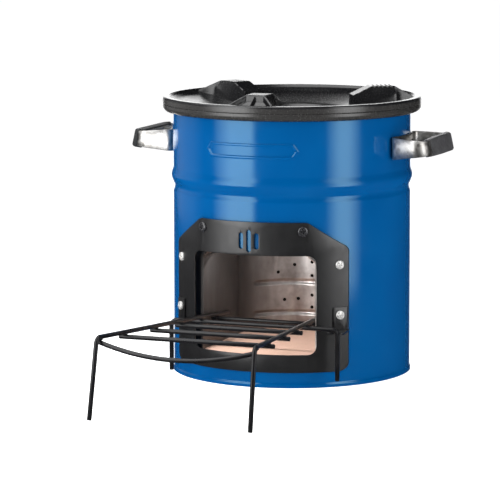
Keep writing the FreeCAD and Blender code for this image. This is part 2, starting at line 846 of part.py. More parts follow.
def pan_screw(head, length):
    """Pan-head screw along +Z, its bearing face at the origin and its shank pointing down."""
    radius = size_of(head) / 2
    height = size_of("screw_head_height")
    shank = size_of("screw_shank") / 2
    edge = height * 0.35
    crown = Part.Arc(Vector(radius, 0, edge), Vector(radius * 0.72, 0, height * 0.86),
                     Vector(0, 0, height)).toShape()
    outline = Part.makePolygon([Vector(0, 0, height), Vector(0, 0, -length), Vector(shank, 0, -length),
                                Vector(shank, 0, 0), Vector(radius, 0, 0), Vector(radius, 0, edge)])
    section = Part.Face(Part.Wire(outline.Edges + [crown]))
    screw = section.revolve(Vector(), Vector(0, 0, 1), 360)
    slot_width = 1.1
    for turn in (0, 90):
        slot = Part.makeBox(radius * 1.1, slot_width, height,
                            Vector(-radius * 0.55, -slot_width / 2, height * 0.55))
        slot.rotate(Vector(), Vector(0, 0, 1), turn + 20)
        screw = screw.cut(slot)
    return screw


def make_screws(label, head, places, face_radius):
    """A group of equal screws whose heads bear on one cylindrical face."""
    seat = face_radius + 0.1
    screw = pan_screw(head, seat - size_of("screw_end"))
    copies = [placed(screw, *radial(angle, seat, level)) for angle, level in places]
    return solid_feature(label, Part.makeCompound(copies))


def make_nuts():
    """Six hexagon nuts on the inside of the can."""
    height = size_of("nut_height")
    inside = size_of("body_radius") - size_of("body_sheet") - height - 0.2
    nut = hexagon(size_of("nut_size"), height)
    nut = nut.cut(Part.makeCylinder(size_of("screw_shank") / 2, height))
    places = SCREW_PLACES["dark"] + SCREW_PLACES["side"] + SCREW_PLACES["bracket"]
    copies = [placed(nut, *radial(angle, inside, level)) for angle, level in places]
    return solid_feature("frame_nuts", Part.makeCompound(copies))


def make_handle_rivets(label, places):
    """Two domed rivets that hold one handle to the can."""
    radius = size_of("rivet_head") / 2
    shank = size_of("rivet_shank") / 2
    outer_face = size_of("body_radius") + size_of("strap_sheet") + 0.3
    inner_face = size_of("body_radius") - size_of("body_sheet") - 0.2
    head_height = 2.2
    tail_height = 1.5
    grip = outer_face - inner_face
    crown_flat = 0.8
    dome = Part.Arc(Vector(radius, 0, 0.4), Vector(radius * 0.75, 0, head_height * 0.75),
                    Vector(crown_flat, 0, head_height)).toShape()
    outline = Part.makePolygon([
        Vector(crown_flat, 0, head_height), Vector(0, 0, head_height),
        Vector(0, 0, -grip - tail_height),
        Vector(radius * 0.8, 0, -grip - tail_height), Vector(radius * 0.8, 0, -grip),
        Vector(shank, 0, -grip), Vector(shank, 0, 0), Vector(radius, 0, 0), Vector(radius, 0, 0.4)])
    section = Part.Face(Part.Wire(outline.Edges + [dome]))
    rivet = section.revolve(Vector(), Vector(0, 0, 1), 360)
    copies = [placed(rivet, *radial(angle, outer_face, level)) for angle, level in places]
    return solid_feature(label, Part.makeCompound(copies))


# ---------------------------------------------------------------- handles

def strap_stations():
    """Half of the right-hand strap in plan, from the mount's middle to the bar's middle.

    Each station is (x, y, low, high, lean): centreline point, lower and upper level, and how far
    the lower edge stands further out than the upper one.
    """
    radius = size_of("body_radius") + size_of("strap_sheet") / 2 + 0.2
    half = size_of("strap_mount_half")
    low, high = size_of("strap_level_low"), size_of("strap_level_high")
    bar_low, bar_high = size_of("bar_low"), size_of("bar_high")
    edge = math.asin(half / radius)
    mount = [(radius * math.cos(edge * step / 5), radius * math.sin(edge * step / 5))
             for step in range(6)]
    corner = Vector(size_of("bar_reach"), size_of("bar_half"), 0)
    fold = Vector(mount[-1][0] + 0.5, half + 6, 0)
    path = bent_path([Vector(mount[-1][0], mount[-1][1], 0), fold, corner,
                      Vector(corner.x, 0, 0)], size_of("strap_bend"))
    points = [Vector(x, y, 0) for x, y in mount]
    for edge_shape in path:
        steps = 7 if edge_shape.Curve.TypeId == "Part::GeomCircle" else 1
        points += edge_shape.discretize(steps + 1)[1:]
    start = mount[-1][0]
    lean_full = (bar_high - bar_low) * math.tan(math.radians(size_of("bar_tilt")))
    stations = []
    for point in points:
        share = min(1.0, max(0.0, (point.x - start) / (corner.x - start)))
        stations.append((point, low + (bar_low - low) * share, high + (bar_high - high) * share,
                         lean_full * share))
    return stations


def make_strap():
    """Right-hand strap handle: one strip bent into a closed loop, drilled for two rivets."""
    stations = strap_stations()
    thickness = size_of("strap_sheet") / 2
    points = [station[0] for station in stations]
    wires = []
    for index, (point, low, high, lean) in enumerate(stations):
        before = points[index - 1] if index else Vector(point.x, -1, 0)
        after = points[index + 1] if index + 1 < len(points) else Vector(point.x, -1, 0)
        back, ahead = (point - before), (after - point)
        along = (back.normalize() + ahead.normalize()).normalize()
        across = Vector(along.y, -along.x, 0)
        widen = thickness / max(0.5, across.dot(Vector(back.y, -back.x, 0)))
        wires.append(Part.makePolygon([
            point + across * widen + Vector(lean, 0, low),
            point - across * widen + Vector(lean, 0, low),
            point - across * widen + Vector(0, 0, high),
            point + across * widen + Vector(0, 0, high),
            point + across * widen + Vector(lean, 0, low)]))
    half = Part.makeLoft(wires, True, True)
    other = half.mirror(Vector(), Vector(0, 1, 0))
    strap = half.fuse(other).removeSplitter()
    drills = [drill_shape(angle, level) for angle, level in HANDLE_RIVET_PLACES[2:]]
    return solid_feature("handle_strap_right", strap.cut(Part.makeCompound(drills)))


def drill_shape(angle, level):
    start, outward = radial(angle, size_of("body_radius") - 5, level)
    return Part.makeCylinder(size_of("rivet_shank") / 2, 12, start, outward)


def make_grip():
    """Right-hand grip: a channel with curled lips, open towards the can, over the strap's bar."""
    wall = "grip_wall"
    rise = "grip_height / 2"
    inner_rise = "grip_height / 2 - grip_wall"
    back = "-1 * ( strap_sheet / 2 + 0.3 )"
    body = padded_body("grip_channel", FRONT, [
        ("0 - grip_depth", "-1 * ( " + rise + " )"),
        ("strap_sheet / 2 + 0.3 + " + wall, "-1 * ( " + rise + " )"),
        ("strap_sheet / 2 + 0.3 + " + wall, rise),
        ("0 - grip_depth", rise),
        ("0 - grip_depth", inner_rise),
        ("strap_sheet / 2 + 0.3", inner_rise),
        ("strap_sheet / 2 + 0.3", "-1 * ( " + inner_rise + " )"),
        ("0 - grip_depth", "-1 * ( " + inner_rise + " )"),
    ], "grip_length", midplane=True)
    outer = size_of("strap_sheet") / 2 + 0.3 + size_of("grip_wall")
    rise_size = size_of("grip_height") / 2

    def outer_corner(edge):
        ends = [vertex.Point for vertex in edge.Vertexes]
        return along_y(edge) and abs(ends[0].x - outer) < 0.01 and abs(abs(ends[0].z) - rise_size) < 0.01

    rounded = round_edges(body, "grip_round", outer_corner)
    middle = value_of("( bar_low + bar_high ) / 2")
    lean = value_of("( bar_high - bar_low ) / 2") * math.tan(math.radians(size_of("bar_tilt")))
    rounded.Label = "grip_right"
    rounded.Placement = Placement(Vector(size_of("bar_reach") + lean, 0, middle),
                                  Rotation(Vector(0, 1, 0), -size_of("bar_tilt")))
    return rounded


# ---------------------------------------------------------------- stick support

def rail_point(depth, side=1):
    """Centre of a rail at a distance in front of the stove's axis."""
    share = (size_of("shoulder_y") - depth) / (size_of("shoulder_y") - size_of("rail_end_y"))
    across = size_of("shoulder_x") + (size_of("rail_end_x") - size_of("shoulder_x")) * share
    level = size_of("shoulder_level") + (size_of("rail_end_level") - size_of("shoulder_level")) * share
    return Vector(side * across, -depth, level)


def make_rail(label, side):
    """One side wire: front foot, leg and the rail that reaches into the fuel opening."""
    tilt = math.atan((size_of("foot_y") - size_of("shoulder_y")) / size_of("shoulder_level"))
    foot = Vector(side * size_of("foot_x"), -size_of("foot_y"),
                  size_of("wire") / 2 * math.sin(tilt))
    points = [foot, rail_point(size_of("shoulder_y"), side), rail_point(size_of("rail_end_y"), side)]
    return rod(label, points, size_of("rail_bend"), size_of("wire"))


def make_rung(number, depth):
    """Straight cross wire welded under both rails at one depth."""
    rail = rail_point(depth)
    half = rail.x + size_of("wire") / 2 + size_of("rung_overhang")
    base = Vector(-half, -depth, rail.z - size_of("wire"))
    return cylinder("support_rung_%d" % number, "wire / 2", str(2 * half), base, Vector(1, 0, 0))


def make_rear_hoop():
    """Cross wire in front of the opening, bent down at both ends into short rear legs."""
    depth = size_of("hoop_y")
    half = size_of("hoop_half")
    level = rail_point(depth).z - size_of("wire")
    foot = size_of("hoop_foot_level")
    points = [Vector(-half, -depth, foot), Vector(-half, -depth, level),
              Vector(half, -depth, level), Vector(half, -depth, foot)]
    return rod("support_rear_hoop", points, size_of("rail_bend") - 1, size_of("wire"))


def make_front_arc():
    """Bowed wire welded under the rails just behind the front legs."""
    depth = size_of("arc_y")
    rail = rail_point(depth)
    end = Vector(rail.x + 3, -depth, rail.z - size_of("wire"))
    middle = Vector(0, -depth - size_of("arc_forward"), end.z - size_of("arc_drop"))
    path = Part.Wire([Part.Arc(Vector(-end.x, end.y, end.z), middle, end).toShape()])
    start = path.Edges[0]
    section = Part.Wire(Part.Circle(start.valueAt(start.FirstParameter),
                                    start.tangentAt(start.FirstParameter),
                                    size_of("wire") / 2).toShape())
    return solid_feature("support_front_arc", path.makePipeShell([section], True, True))


# ---------------------------------------------------------------- assembly

def build_all():
    frame_face = value_of("body_radius + hem_proud + frame_sheet")
    right_strap = make_strap()
    right_grip = make_grip()
    right_bracket = make_bracket()
    parts = [
        make_body_shell(), make_base_pan(), make_base_insulation(), make_tile_tray(),
        make_ceramic_tile(), make_riser(), make_chute(), make_insulation(), make_lid_plate(),
        make_collar(), make_cast_top(), make_tie_bolts(), make_front_frame(),
        right_bracket, mirrored("bracket_left", right_bracket),
        make_screws("frame_screws_top", "top_screw_head", SCREW_PLACES["dark"], frame_face),
        make_screws("frame_screws_side", "screw_head", SCREW_PLACES["side"], frame_face),
        make_screws("bracket_screws", "screw_head", SCREW_PLACES["bracket"],
                    frame_face + size_of("tongue_sheet")),
        make_nuts(),
        right_strap, mirrored("handle_strap_left", right_strap),
        right_grip, mirrored("grip_left", right_grip),
        make_handle_rivets("handle_rivets_left", HANDLE_RIVET_PLACES[:2]),
        make_handle_rivets("handle_rivets_right", HANDLE_RIVET_PLACES[2:]),
        make_rail("support_rail_left", -1), make_rail("support_rail_right", 1),
        make_rear_hoop(), make_front_arc(),
    ]
    parts += [make_rung(number, depth) for number, depth in enumerate(RUNG_DEPTHS, start=1)]
    return parts


def export(parts):
    """Writes every piece after checking the whole document."""
    doc.recompute()
    broken = [item.Label for item in doc.Objects
              if "Invalid" in item.State or "Error" in item.State]
    broken += [part.Label for part in parts if part.Shape.isNull() or not part.Shape.isValid()]
    if broken:
        raise RuntimeError("not built: " + ", ".join(broken))
    os.makedirs("parts", exist_ok=True)
    for part in parts:
        part.Shape.exportStep("parts/%s.step" % part.Label)
        box = part.Shape.BoundBox
        print("%-22s solids %d  volume %9.0f  x %.1f..%.1f  y %.1f..%.1f  z %.1f..%.1f" % (
            part.Label, len(part.Shape.Solids), part.Shape.Volume,
            box.XMin, box.XMax, box.YMin, box.YMax, box.ZMin, box.ZMax))


export(build_all())
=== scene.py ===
import json
from math import asin, atan, ceil, cos, degrees, hypot, pi, radians, sin, sqrt, tan

import bmesh
import bpy
import numpy as np
from mathutils import Matrix, Vector, noise


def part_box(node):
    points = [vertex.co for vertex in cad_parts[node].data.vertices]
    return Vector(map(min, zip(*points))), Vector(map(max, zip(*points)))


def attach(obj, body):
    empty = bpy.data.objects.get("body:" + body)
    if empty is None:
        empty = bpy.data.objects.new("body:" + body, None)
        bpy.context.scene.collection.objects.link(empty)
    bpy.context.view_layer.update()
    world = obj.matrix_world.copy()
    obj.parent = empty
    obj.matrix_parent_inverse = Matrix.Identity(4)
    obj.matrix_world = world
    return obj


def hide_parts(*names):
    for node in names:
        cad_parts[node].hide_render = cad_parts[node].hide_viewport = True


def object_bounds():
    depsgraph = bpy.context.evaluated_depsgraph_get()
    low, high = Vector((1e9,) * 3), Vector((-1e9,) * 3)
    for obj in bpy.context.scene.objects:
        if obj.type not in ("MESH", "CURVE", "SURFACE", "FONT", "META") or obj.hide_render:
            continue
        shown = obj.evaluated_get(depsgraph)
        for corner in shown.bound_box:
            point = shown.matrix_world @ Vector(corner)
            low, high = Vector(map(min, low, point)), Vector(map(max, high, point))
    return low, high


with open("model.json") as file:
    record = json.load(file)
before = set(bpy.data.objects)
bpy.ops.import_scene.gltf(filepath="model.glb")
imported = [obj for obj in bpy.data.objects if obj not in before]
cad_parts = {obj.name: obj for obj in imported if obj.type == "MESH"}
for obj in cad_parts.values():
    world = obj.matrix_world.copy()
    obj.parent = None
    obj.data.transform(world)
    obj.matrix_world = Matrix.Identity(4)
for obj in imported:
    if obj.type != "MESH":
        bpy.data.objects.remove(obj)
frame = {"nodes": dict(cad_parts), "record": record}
cad_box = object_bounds()
STOVE = "stove"
SUPPORT = "stick_support"
UP = Vector((0, 0, 1))


# ---- shader nodes

def feed(tree, socket, value):
    """Links an input to a node's output, or sets it to a plain value."""
    if isinstance(value, bpy.types.NodeSocket):
        tree.links.new(value, socket)
    else:
        socket.default_value = value


def add_node(tree, kind, settings=None, **inputs):
    """Shader node of a kind with its settings and its named inputs."""
    item = tree.nodes.new("ShaderNode" + kind)
    for key, value in (settings or {}).items():
        setattr(item, key, value)
    for key, value in inputs.items():
        feed(tree, item.inputs[key.replace("_", " ")], value)
    return item


def combine(tree, kind, operation, first, second):
    """Value that a math or vector math node makes from its first two inputs."""
    item = add_node(tree, kind, {"operation": operation})
    feed(tree, item.inputs[0], first)
    feed(tree, item.inputs[1], second)
    return item.outputs["Value"]


def soft_range(tree, source, start, stop, low, high):
    """Runs smoothly from low to high while the source goes from start to stop."""
    return add_node(tree, "MapRange", {"interpolation_type": "SMOOTHSTEP"}, Value=source,
                    From_Min=start, From_Max=stop, To_Min=low, To_Max=high).outputs["Result"]


# ---- camera, light and floor

CAMERA_TARGET = (0.0, 0.0, 0.14)
CAMERA_AZIMUTH, CAMERA_ELEVATION, CAMERA_DISTANCE = 20.2, 7.85, 2.9
CAMERA_YAW, CAMERA_PITCH = 0.837, -0.4095
CAMERA_LENS, CAMERA_SENSOR, CAMERA_REACH = 206.5, 36.0, 200.0

STRAIGHT_BEHIND = (-0.345, 0.938, 0.0)
BACKDROP_EDGE, BACKDROP_CORE, BACKDROP_TOP, SKY_FROM = 0.93, 0.985, 0.22, 0.40
DARK_LEVEL, BACKDROP_LEVEL, SKY_SHARE = 0.012, 3.0, 0.04

FLOOR_SIZE, FLOOR_GAP, FLOOR_TONE = 60.0, 0.0002, 0.86


def look(azimuth, elevation, distance, yaw, pitch):
    """Camera matrix on a sphere round the origin, turned a little away from it; angles in degrees."""
    elevation, yaw, pitch = (radians(angle) for angle in (elevation, yaw, pitch))
    ahead = Vector((0, cos(elevation - pitch), -sin(elevation - pitch)))
    right = Vector((1, 0, 0))
    up = right.cross(ahead)
    gaze = ahead * cos(yaw) - right * sin(yaw)
    side = right * cos(yaw) + ahead * sin(yaw)
    place = Vector((0, -distance * cos(elevation), distance * sin(elevation)))
    basis = Matrix((side, up, -gaze)).transposed().to_4x4()
    return Matrix.Rotation(radians(azimuth), 4, "Z") @ Matrix.Translation(place) @ basis


def new_object(name, data):
    item = bpy.data.objects.new(name, data)
    bpy.context.scene.collection.objects.link(item)
    return item


def make_camera():
    data = bpy.data.cameras.new("camera")
    data.sensor_width = CAMERA_SENSOR
    data.lens = CAMERA_LENS
    data.clip_end = CAMERA_REACH
    camera = new_object("camera", data)
    view = look(CAMERA_AZIMUTH, CAMERA_ELEVATION, CAMERA_DISTANCE, CAMERA_YAW, CAMERA_PITCH)
    camera.matrix_world = Matrix.Translation(CAMERA_TARGET) @ view
    bpy.context.scene.camera = camera


def area_light(name, place, target, width, high, strength):
    """Rectangular light with the given radiance, turned towards a target."""
    light = bpy.data.lights.new(name, "AREA")
    light.shape = "RECTANGLE"
    light.size = width
    light.size_y = high
    light.energy = strength * width * high * pi
    item = new_object(name, light)
    item.location = place
    item.rotation_euler = (Vector(target) - Vector(place)).to_track_quat("-Z", "Y").to_euler()
    return item


def softbox(name, azimuth, distance, width, high, strength, fades):
    """Upright light that faces the stove; azimuth is from the front, + towards +X.

    fades are the shares of its width that fade out at its two sides.
    """
    turn = radians(azimuth)
    level = high / 2
    place = (distance * sin(turn), -distance * cos(turn), level)
    light = area_light(name, place, (0, 0, level), width, high, strength).data
    light.use_nodes = True
    tree = light.node_tree
    spot = add_node(tree, "NewGeometry").outputs["Parametric"]
    across = add_node(tree, "SeparateXYZ", Vector=spot).outputs["X"]
    ramp = add_node(tree, "FloatCurve", Value=across)
    curve = ramp.mapping.curves[0]
    curve.points[0].location = (0, 0)
    curve.points[1].location = (1, 0)
    curve.points.new(fades[0], 1.0)
    curve.points.new(1 - fades[1], 1.0)
    for point in curve.points:
        point.handle_type = "VECTOR"
    ramp.mapping.update()
    feed(tree, tree.nodes["Emission"].inputs["Strength"], ramp.outputs["Value"])


def fill_light(name, place, target, size, strength):
    """Square light that glossy surfaces don't show."""
    area_light(name, place, target, size, size, strength).visible_glossy = False


def private_light(name, place, target, size, strength, receivers):
    """Square light, unseen by the camera, that reaches only the named pieces."""
    item = area_light(name, place, target, size, size, strength)
    item.visible_camera = False
    group = bpy.data.collections.new(name + "_receivers")
    for receiver in receivers:
        group.objects.link(bpy.data.objects[receiver])
    item.light_linking.receiver_collection = group


def make_lights():
    softbox("softbox_left", azimuth=-33.5, distance=0.75, width=0.60, high=0.75, strength=5.0,
            fades=(0.45, 0.12))
    softbox("panel_left", azimuth=-98.0, distance=1.20, width=1.30, high=1.00, strength=0.32,
            fades=(0.3, 0.3))
    area_light("overhead", (-0.30, -0.20, 1.05), (0, 0, 0.27), width=1.0, high=1.0, strength=3.4)
    softbox("softbox_right", azimuth=67.5, distance=0.70, width=0.44, high=0.75, strength=4.5,
            fades=(0.35, 0.4))
    fill_light("fill_front", (-0.40, -1.5, 0.26), (0, -0.02, 0.09), size=0.4, strength=4.5)
    private_light("chamber_lamp", (-0.040, -0.090, 0.1275), (0.030, -0.030, 0.030), size=0.018,
                  strength=165.0, receivers=["riser_tube", "fuel_duct", "floor_slab"])
    private_light("strap_card", (-0.074, -0.285, 0.165), (-0.135, -0.042, 0.23), size=0.26,
                  strength=4.5, receivers=["strap_left"])
    fill_light("fill_left", (-1.3, -0.9, 0.5), (0, 0, 0.15), size=0.5, strength=4.5)
    fill_light("fill_right", (1.5, -0.3, 0.5), (0, 0, 0.15), size=0.5, strength=4.5)


def make_world():
    """Dark surroundings with one bright patch, low and straight behind the stove."""
    world = bpy.data.worlds.new("studio")
    world.use_nodes = True
    bpy.context.scene.world = world
    tree = world.node_tree
    way = add_node(tree, "TexCoord").outputs["Generated"]
    facing = combine(tree, "VectorMath", "DOT_PRODUCT", way, STRAIGHT_BEHIND)
    backdrop = soft_range(tree, facing, BACKDROP_EDGE, BACKDROP_CORE, DARK_LEVEL, BACKDROP_LEVEL)
    rise = add_node(tree, "SeparateXYZ", Vector=way).outputs["Z"]
    sky = soft_range(tree, rise, BACKDROP_TOP, SKY_FROM, 1.0, SKY_SHARE)
    background = tree.nodes["Background"]
    background.inputs["Color"].default_value = (1, 1, 1, 1)
    feed(tree, background.inputs["Strength"], combine(tree, "Math", "MULTIPLY", backdrop, sky))


def make_floor():
    mesh = bpy.data.meshes.new("floor")
    bm = bmesh.new()
    bmesh.ops.create_grid(bm, x_segments=2, y_segments=2, size=FLOOR_SIZE)
    bm.to_mesh(mesh)
    bm.free()
    floor = new_object("floor", mesh)
    floor.location = (0, 0, cad_box[0][2] - FLOOR_GAP)
    coat = Coat("floor", (FLOOR_TONE, FLOOR_TONE, FLOOR_TONE), 0.9)
    coat.set(Specular_IOR_Level=0.0, Emission_Color=(1, 1, 1, 1), Emission_Strength=1.0)
    floor.data.materials.append(coat.material)
    floor.visible_glossy = False


# ---- materials

class Coat:
    """A procedural material in the making: a Principled shader fed by textures in object space."""

    def __init__(self, name, color, roughness, metallic=0.0):
        self.material = bpy.data.materials.new(name)
        self.material.use_nodes = True
        self.tree = self.material.node_tree
        self.shader = self.tree.nodes["Principled BSDF"]
        self.set(Metallic=metallic, Roughness=roughness, Base_Color=(*color, 1))
        self.space = self.node("TexCoord").outputs["Object"]
        self.bumps = None

    def set(self, **values):
        """Gives inputs of the shader a value or a pattern."""
        for key, value in values.items():
            feed(self.tree, self.shader.inputs[key.replace("_", " ")], value)

    def node(self, kind, settings=None, **inputs):
        return add_node(self.tree, kind, settings, **inputs)

    def along(self, axis):
        """Coordinate along one axis."""
        return self.node("SeparateXYZ", Vector=self.space).outputs[axis]

    def stretched(self, scale):
        return self.node("Mapping", Vector=self.space, Scale=scale).outputs[0]

    def reach(self):
        """Distance from the stove's axis."""
        plan = self.stretched((1, 1, 0))
        return self.node("VectorMath", {"operation": "LENGTH"}, Vector=plan).outputs["Value"]

    def noise(self, size_mm, detail=3.0, stretch=None, rough=0.5, distortion=0.0):
        source = self.stretched(stretch) if stretch else self.space
        return self.node("TexNoise", Vector=source, Scale=1000.0 / size_mm, Detail=detail,
                         Roughness=rough, Distortion=distortion).outputs["Fac"]

    def flakes(self, size_mm):
        """A random value for each crystal."""
        color = self.node("TexVoronoi", Vector=self.space, Scale=1000.0 / size_mm).outputs["Color"]
        return self.node("SeparateColor", Color=color).outputs[0]

    def span(self, source, low=0.3, high=0.7, to_low=0.0, to_high=1.0):
        return self.node("MapRange", Value=source, From_Min=low, From_Max=high,
                         To_Min=to_low, To_Max=to_high).outputs["Result"]

    def mix(self, share, first, second):
        """Colour between two colours, each a triple or an output."""
        item = self.node("Mix", {"data_type": "RGBA"})
        feed(self.tree, item.inputs[0], share)
        for socket, color in ((item.inputs[6], first), (item.inputs[7], second)):
            feed(self.tree, socket, (*color, 1) if isinstance(color, tuple) else color)
        return item.outputs[2]

    def tint(self, source, first, second, low=0.3, high=0.7):
        """Lets the base colour run from one colour to another as the source goes from low to high."""
        self.set(Base_Color=self.mix(self.span(source, low, high), first, second))

    def roughen(self, source, low, high):
        """Lets the roughness follow a noise."""
        self.set(Roughness=self.span(source, to_low=low, to_high=high))

    def bump(self, height, strength, distance_mm):
        """Adds one more layer of relief."""
        item = self.node("Bump", Height=height, Strength=strength, Distance=distance_mm / 1000)
        if self.bumps is not None:
            feed(self.tree, item.inputs["Normal"], self.bumps)
        self.bumps = item.outputs["Normal"]
        self.set(Normal=self.bumps)


FINISHES = {}


def finish(color, roughness, metallic=0.0):
    """Makes the finish of the slot that a recipe is named after."""
    def make(recipe):
        coat = Coat(recipe.__name__, color, roughness, metallic)
        recipe(coat)
        FINISHES[recipe.__name__] = coat.material
        return recipe
    return make


@finish((0.0, 0.062, 0.205), 0.12)
def body_paint(coat):
    """Smooth gloss paint with a faint waviness."""
    coat.tint(coat.noise(70, 2), (0.0, 0.058, 0.197), (0.0, 0.065, 0.213), 0.35, 0.65)
    coat.roughen(coat.noise(24, 4), 0.09, 0.16)
    coat.set(Specular_Tint=(0.55, 0.96, 1.0, 1.0))
    coat.bump(coat.noise(150, 1, stretch=(1, 1, 0.5)), 0.25, 2.0)
    coat.bump(coat.noise(3.2, 2), 0.05, 0.10)


@finish((0.013, 0.013, 0.0135), 0.24)
def cast_iron(coat):
    """Black cast iron; the outer band below the rim is a rougher grey, partly worn cast face and partly
    painted sheen for the light on that band.
    """
    grain = coat.noise(1.4, 5, rough=0.65)
    cloud = coat.span(coat.noise(18))
    skin = coat.mix(cloud, (0.0060, 0.0061, 0.0070), (0.0110, 0.0110, 0.0120))
    # painted sheen: the outer band's lighter grey is partly wear and partly stands in for side light on its
    # front face; the rim's top edge stays black
    worn = coat.mix(coat.span(grain), (0.018, 0.0175, 0.017), (0.032, 0.031, 0.0305))
    outer = coat.span(coat.reach(), 0.1270, 0.1283)
    below = coat.span(coat.along("Z"), 0.2748, 0.2736)
    worn_sheen_band = combine(coat.tree, "Math", "MINIMUM", outer, below)
    coat.set(Base_Color=coat.mix(worn_sheen_band, skin, worn))
    coat.roughen(grain, 0.18, 0.30)
    coat.bump(coat.noise(7), 0.14, 0.22)
    coat.bump(grain, 0.14, 0.16)


@finish((0.007, 0.007, 0.0075), 0.38)
def frame_black(coat):
    """Satin black paint on sheet."""
    coat.tint(coat.noise(40), (0.0066, 0.0066, 0.0072), (0.0105, 0.0105, 0.0112))
    coat.roughen(coat.noise(9), 0.32, 0.42)
    coat.bump(coat.noise(0.9), 0.12, 0.06)
    coat.set(Specular_IOR_Level=0.65)


@finish((0.75, 0.74, 0.73), 0.3, 1.0)
def galvanised(coat):
    """Zinc crystals with dull stains."""
    flake = coat.flakes(3.2)
    tone = coat.mix(flake, (0.40, 0.39, 0.375), (0.64, 0.635, 0.62))
    stain = coat.span(coat.noise(9, 4, rough=0.6), 0.45, 0.68, 0.0, 0.6)
    coat.set(Base_Color=coat.mix(stain, tone, (0.36, 0.34, 0.31)))
    coat.set(Roughness=coat.span(flake, 0.0, 1.0, 0.34, 0.48))
    coat.bump(flake, 0.03, 0.06)
    coat.bump(coat.noise(0.9), 0.08, 0.05)


@finish((0.016, 0.016, 0.018), 0.45)
def grip_black(coat):
    """Black grip sheet; the right grip is painted a lighter grey as painted light from the lamps on its
    side.
    """
    cloud = coat.span(coat.noise(12))
    black = coat.mix(cloud, (0.010, 0.011, 0.012), (0.018, 0.019, 0.020))
    painted_light_grey = coat.mix(cloud, (0.044, 0.044, 0.047), (0.062, 0.062, 0.066))
    # painted light: the grip on the +X side gets a lighter grey that stands in for the softbox light falling
    # on it
    coat.tint(coat.along("X"), black, painted_light_grey, -0.05, 0.05)
    coat.roughen(coat.noise(3), 0.38, 0.55)
    coat.bump(coat.noise(1.0), 0.2, 0.08)


@finish((0.42, 0.39, 0.37), 0.34, 0.8)
def chamber_steel(coat):
    """Heat-stained steel with soot blotches, painted darker towards its left side as painted shade."""
    streak = coat.noise(26, 4, stretch=(1, 1, 0.3), distortion=0.8)
    tone = coat.mix(coat.span(streak, 0.34, 0.66), (0.48, 0.44, 0.42), (0.86, 0.82, 0.80))
    soot = coat.span(coat.noise(44, 4, rough=0.6), 0.45, 0.68)
    stained = coat.mix(soot, tone, (0.25, 0.22, 0.21))
    # painted shade: the base colour runs to near black towards the chamber's left side (negative X),
    # whatever the lamps do
    coat.tint(coat.along("X"), (0.085, 0.079, 0.077), stained, -0.058, -0.002)
    coat.roughen(streak, 0.27, 0.44)
    coat.bump(coat.noise(30, 2), 0.3, 1.2)
    coat.bump(coat.noise(1.2, stretch=(1, 1, 6)), 0.08, 0.06)


@finish((0.80, 0.56, 0.45), 0.85)
def ceramic(coat):
    """Fired clay with dark grit."""
    grit = coat.noise(1.6, 4, rough=0.7)
    cloud = coat.span(coat.noise(32, 4), 0.35, 0.65)
    clay = coat.mix(cloud, (0.72, 0.465, 0.37), (0.68, 0.445, 0.335))
    coat.set(Base_Color=coat.mix(coat.span(grit, 0.56, 0.75, 0.0, 0.6), clay, (0.42, 0.27, 0.20)))
    coat.bump(coat.noise(9), 0.4, 0.5)
    coat.bump(grit, 0.5, 0.35)


@finish((0.60, 0.59, 0.55), 0.95)
def fibre(coat):
    """Pale insulating wool, black close to the riser, where it shows through the chamber's air holes."""
    wool = coat.noise(3, 5, stretch=(1, 1, 4), distortion=1.5)
    pale_wool = coat.mix(coat.span(wool), (0.62, 0.60, 0.55), (0.82, 0.81, 0.78))
    # the wool is black inside about 64.5 mm from the axis and pale further out
    coat.tint(coat.reach(), (0.012, 0.010, 0.009), pale_wool, 0.0645, 0.072)
    coat.bump(wool, 0.8, 1.2)


@finish((0.88, 0.87, 0.84), 0.5, 0.6)
def zinc(coat):
    """Bright plated screw heads."""
    coat.tint(coat.noise(2.5), (0.58, 0.575, 0.56), (0.76, 0.755, 0.74))
    coat.roughen(coat.noise(1.2), 0.34, 0.48)
    coat.bump(coat.noise(0.7), 0.10, 0.05)


@finish((0.02, 0.02, 0.023), 0.3, 0.2)
def dark_steel(coat):
    """Blackened screw and rivet heads."""
    coat.tint(coat.noise(3), (0.014, 0.014, 0.016), (0.03, 0.03, 0.034))
    coat.roughen(coat.noise(1.5), 0.22, 0.34)
    coat.bump(coat.noise(0.8), 0.10, 0.05)
    coat.set(Specular_IOR_Level=0.8)


@finish((0.008, 0.008, 0.009), 0.24)
def wire_black(coat):
    """Thin black paint on wire."""
    coat.tint(coat.noise(14), (0.004, 0.004, 0.005), (0.009, 0.009, 0.010))
    coat.roughen(coat.noise(30, 2), 0.27, 0.31)
    coat.set(Specular_IOR_Level=0.3)


@finish((0.5, 0.5, 0.5), 0.4, 1.0)
def pan_steel(coat):
    """Brushed steel sheet with softly rounded edges."""
    coat.bumps = coat.node("Bevel", {"samples": 4}, Radius=0.0003).outputs["Normal"]
    brush = coat.noise(2.0, 4, stretch=(0.05, 1, 1))
    coat.tint(brush, (0.40, 0.40, 0.41), (0.56, 0.56, 0.56))
    coat.roughen(brush, 0.32, 0.46)
    coat.bump(brush, 0.1, 0.05)


def paint_cad_nodes():
    """Gives every CAD node the procedural finish of its slot."""
    for part in frame["record"]["subparts"]:
        item = frame["nodes"][part["node"]]
        item.data.materials.clear()
        item.data.materials.append(FINISHES[part["material_slot"]])


# ---- mesh helpers, in millimetres

def box(node):
    """Lowest and highest corner of a CAD node in millimetres."""
    low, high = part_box(node)
    return Vector(low) * 1000, Vector(high) * 1000


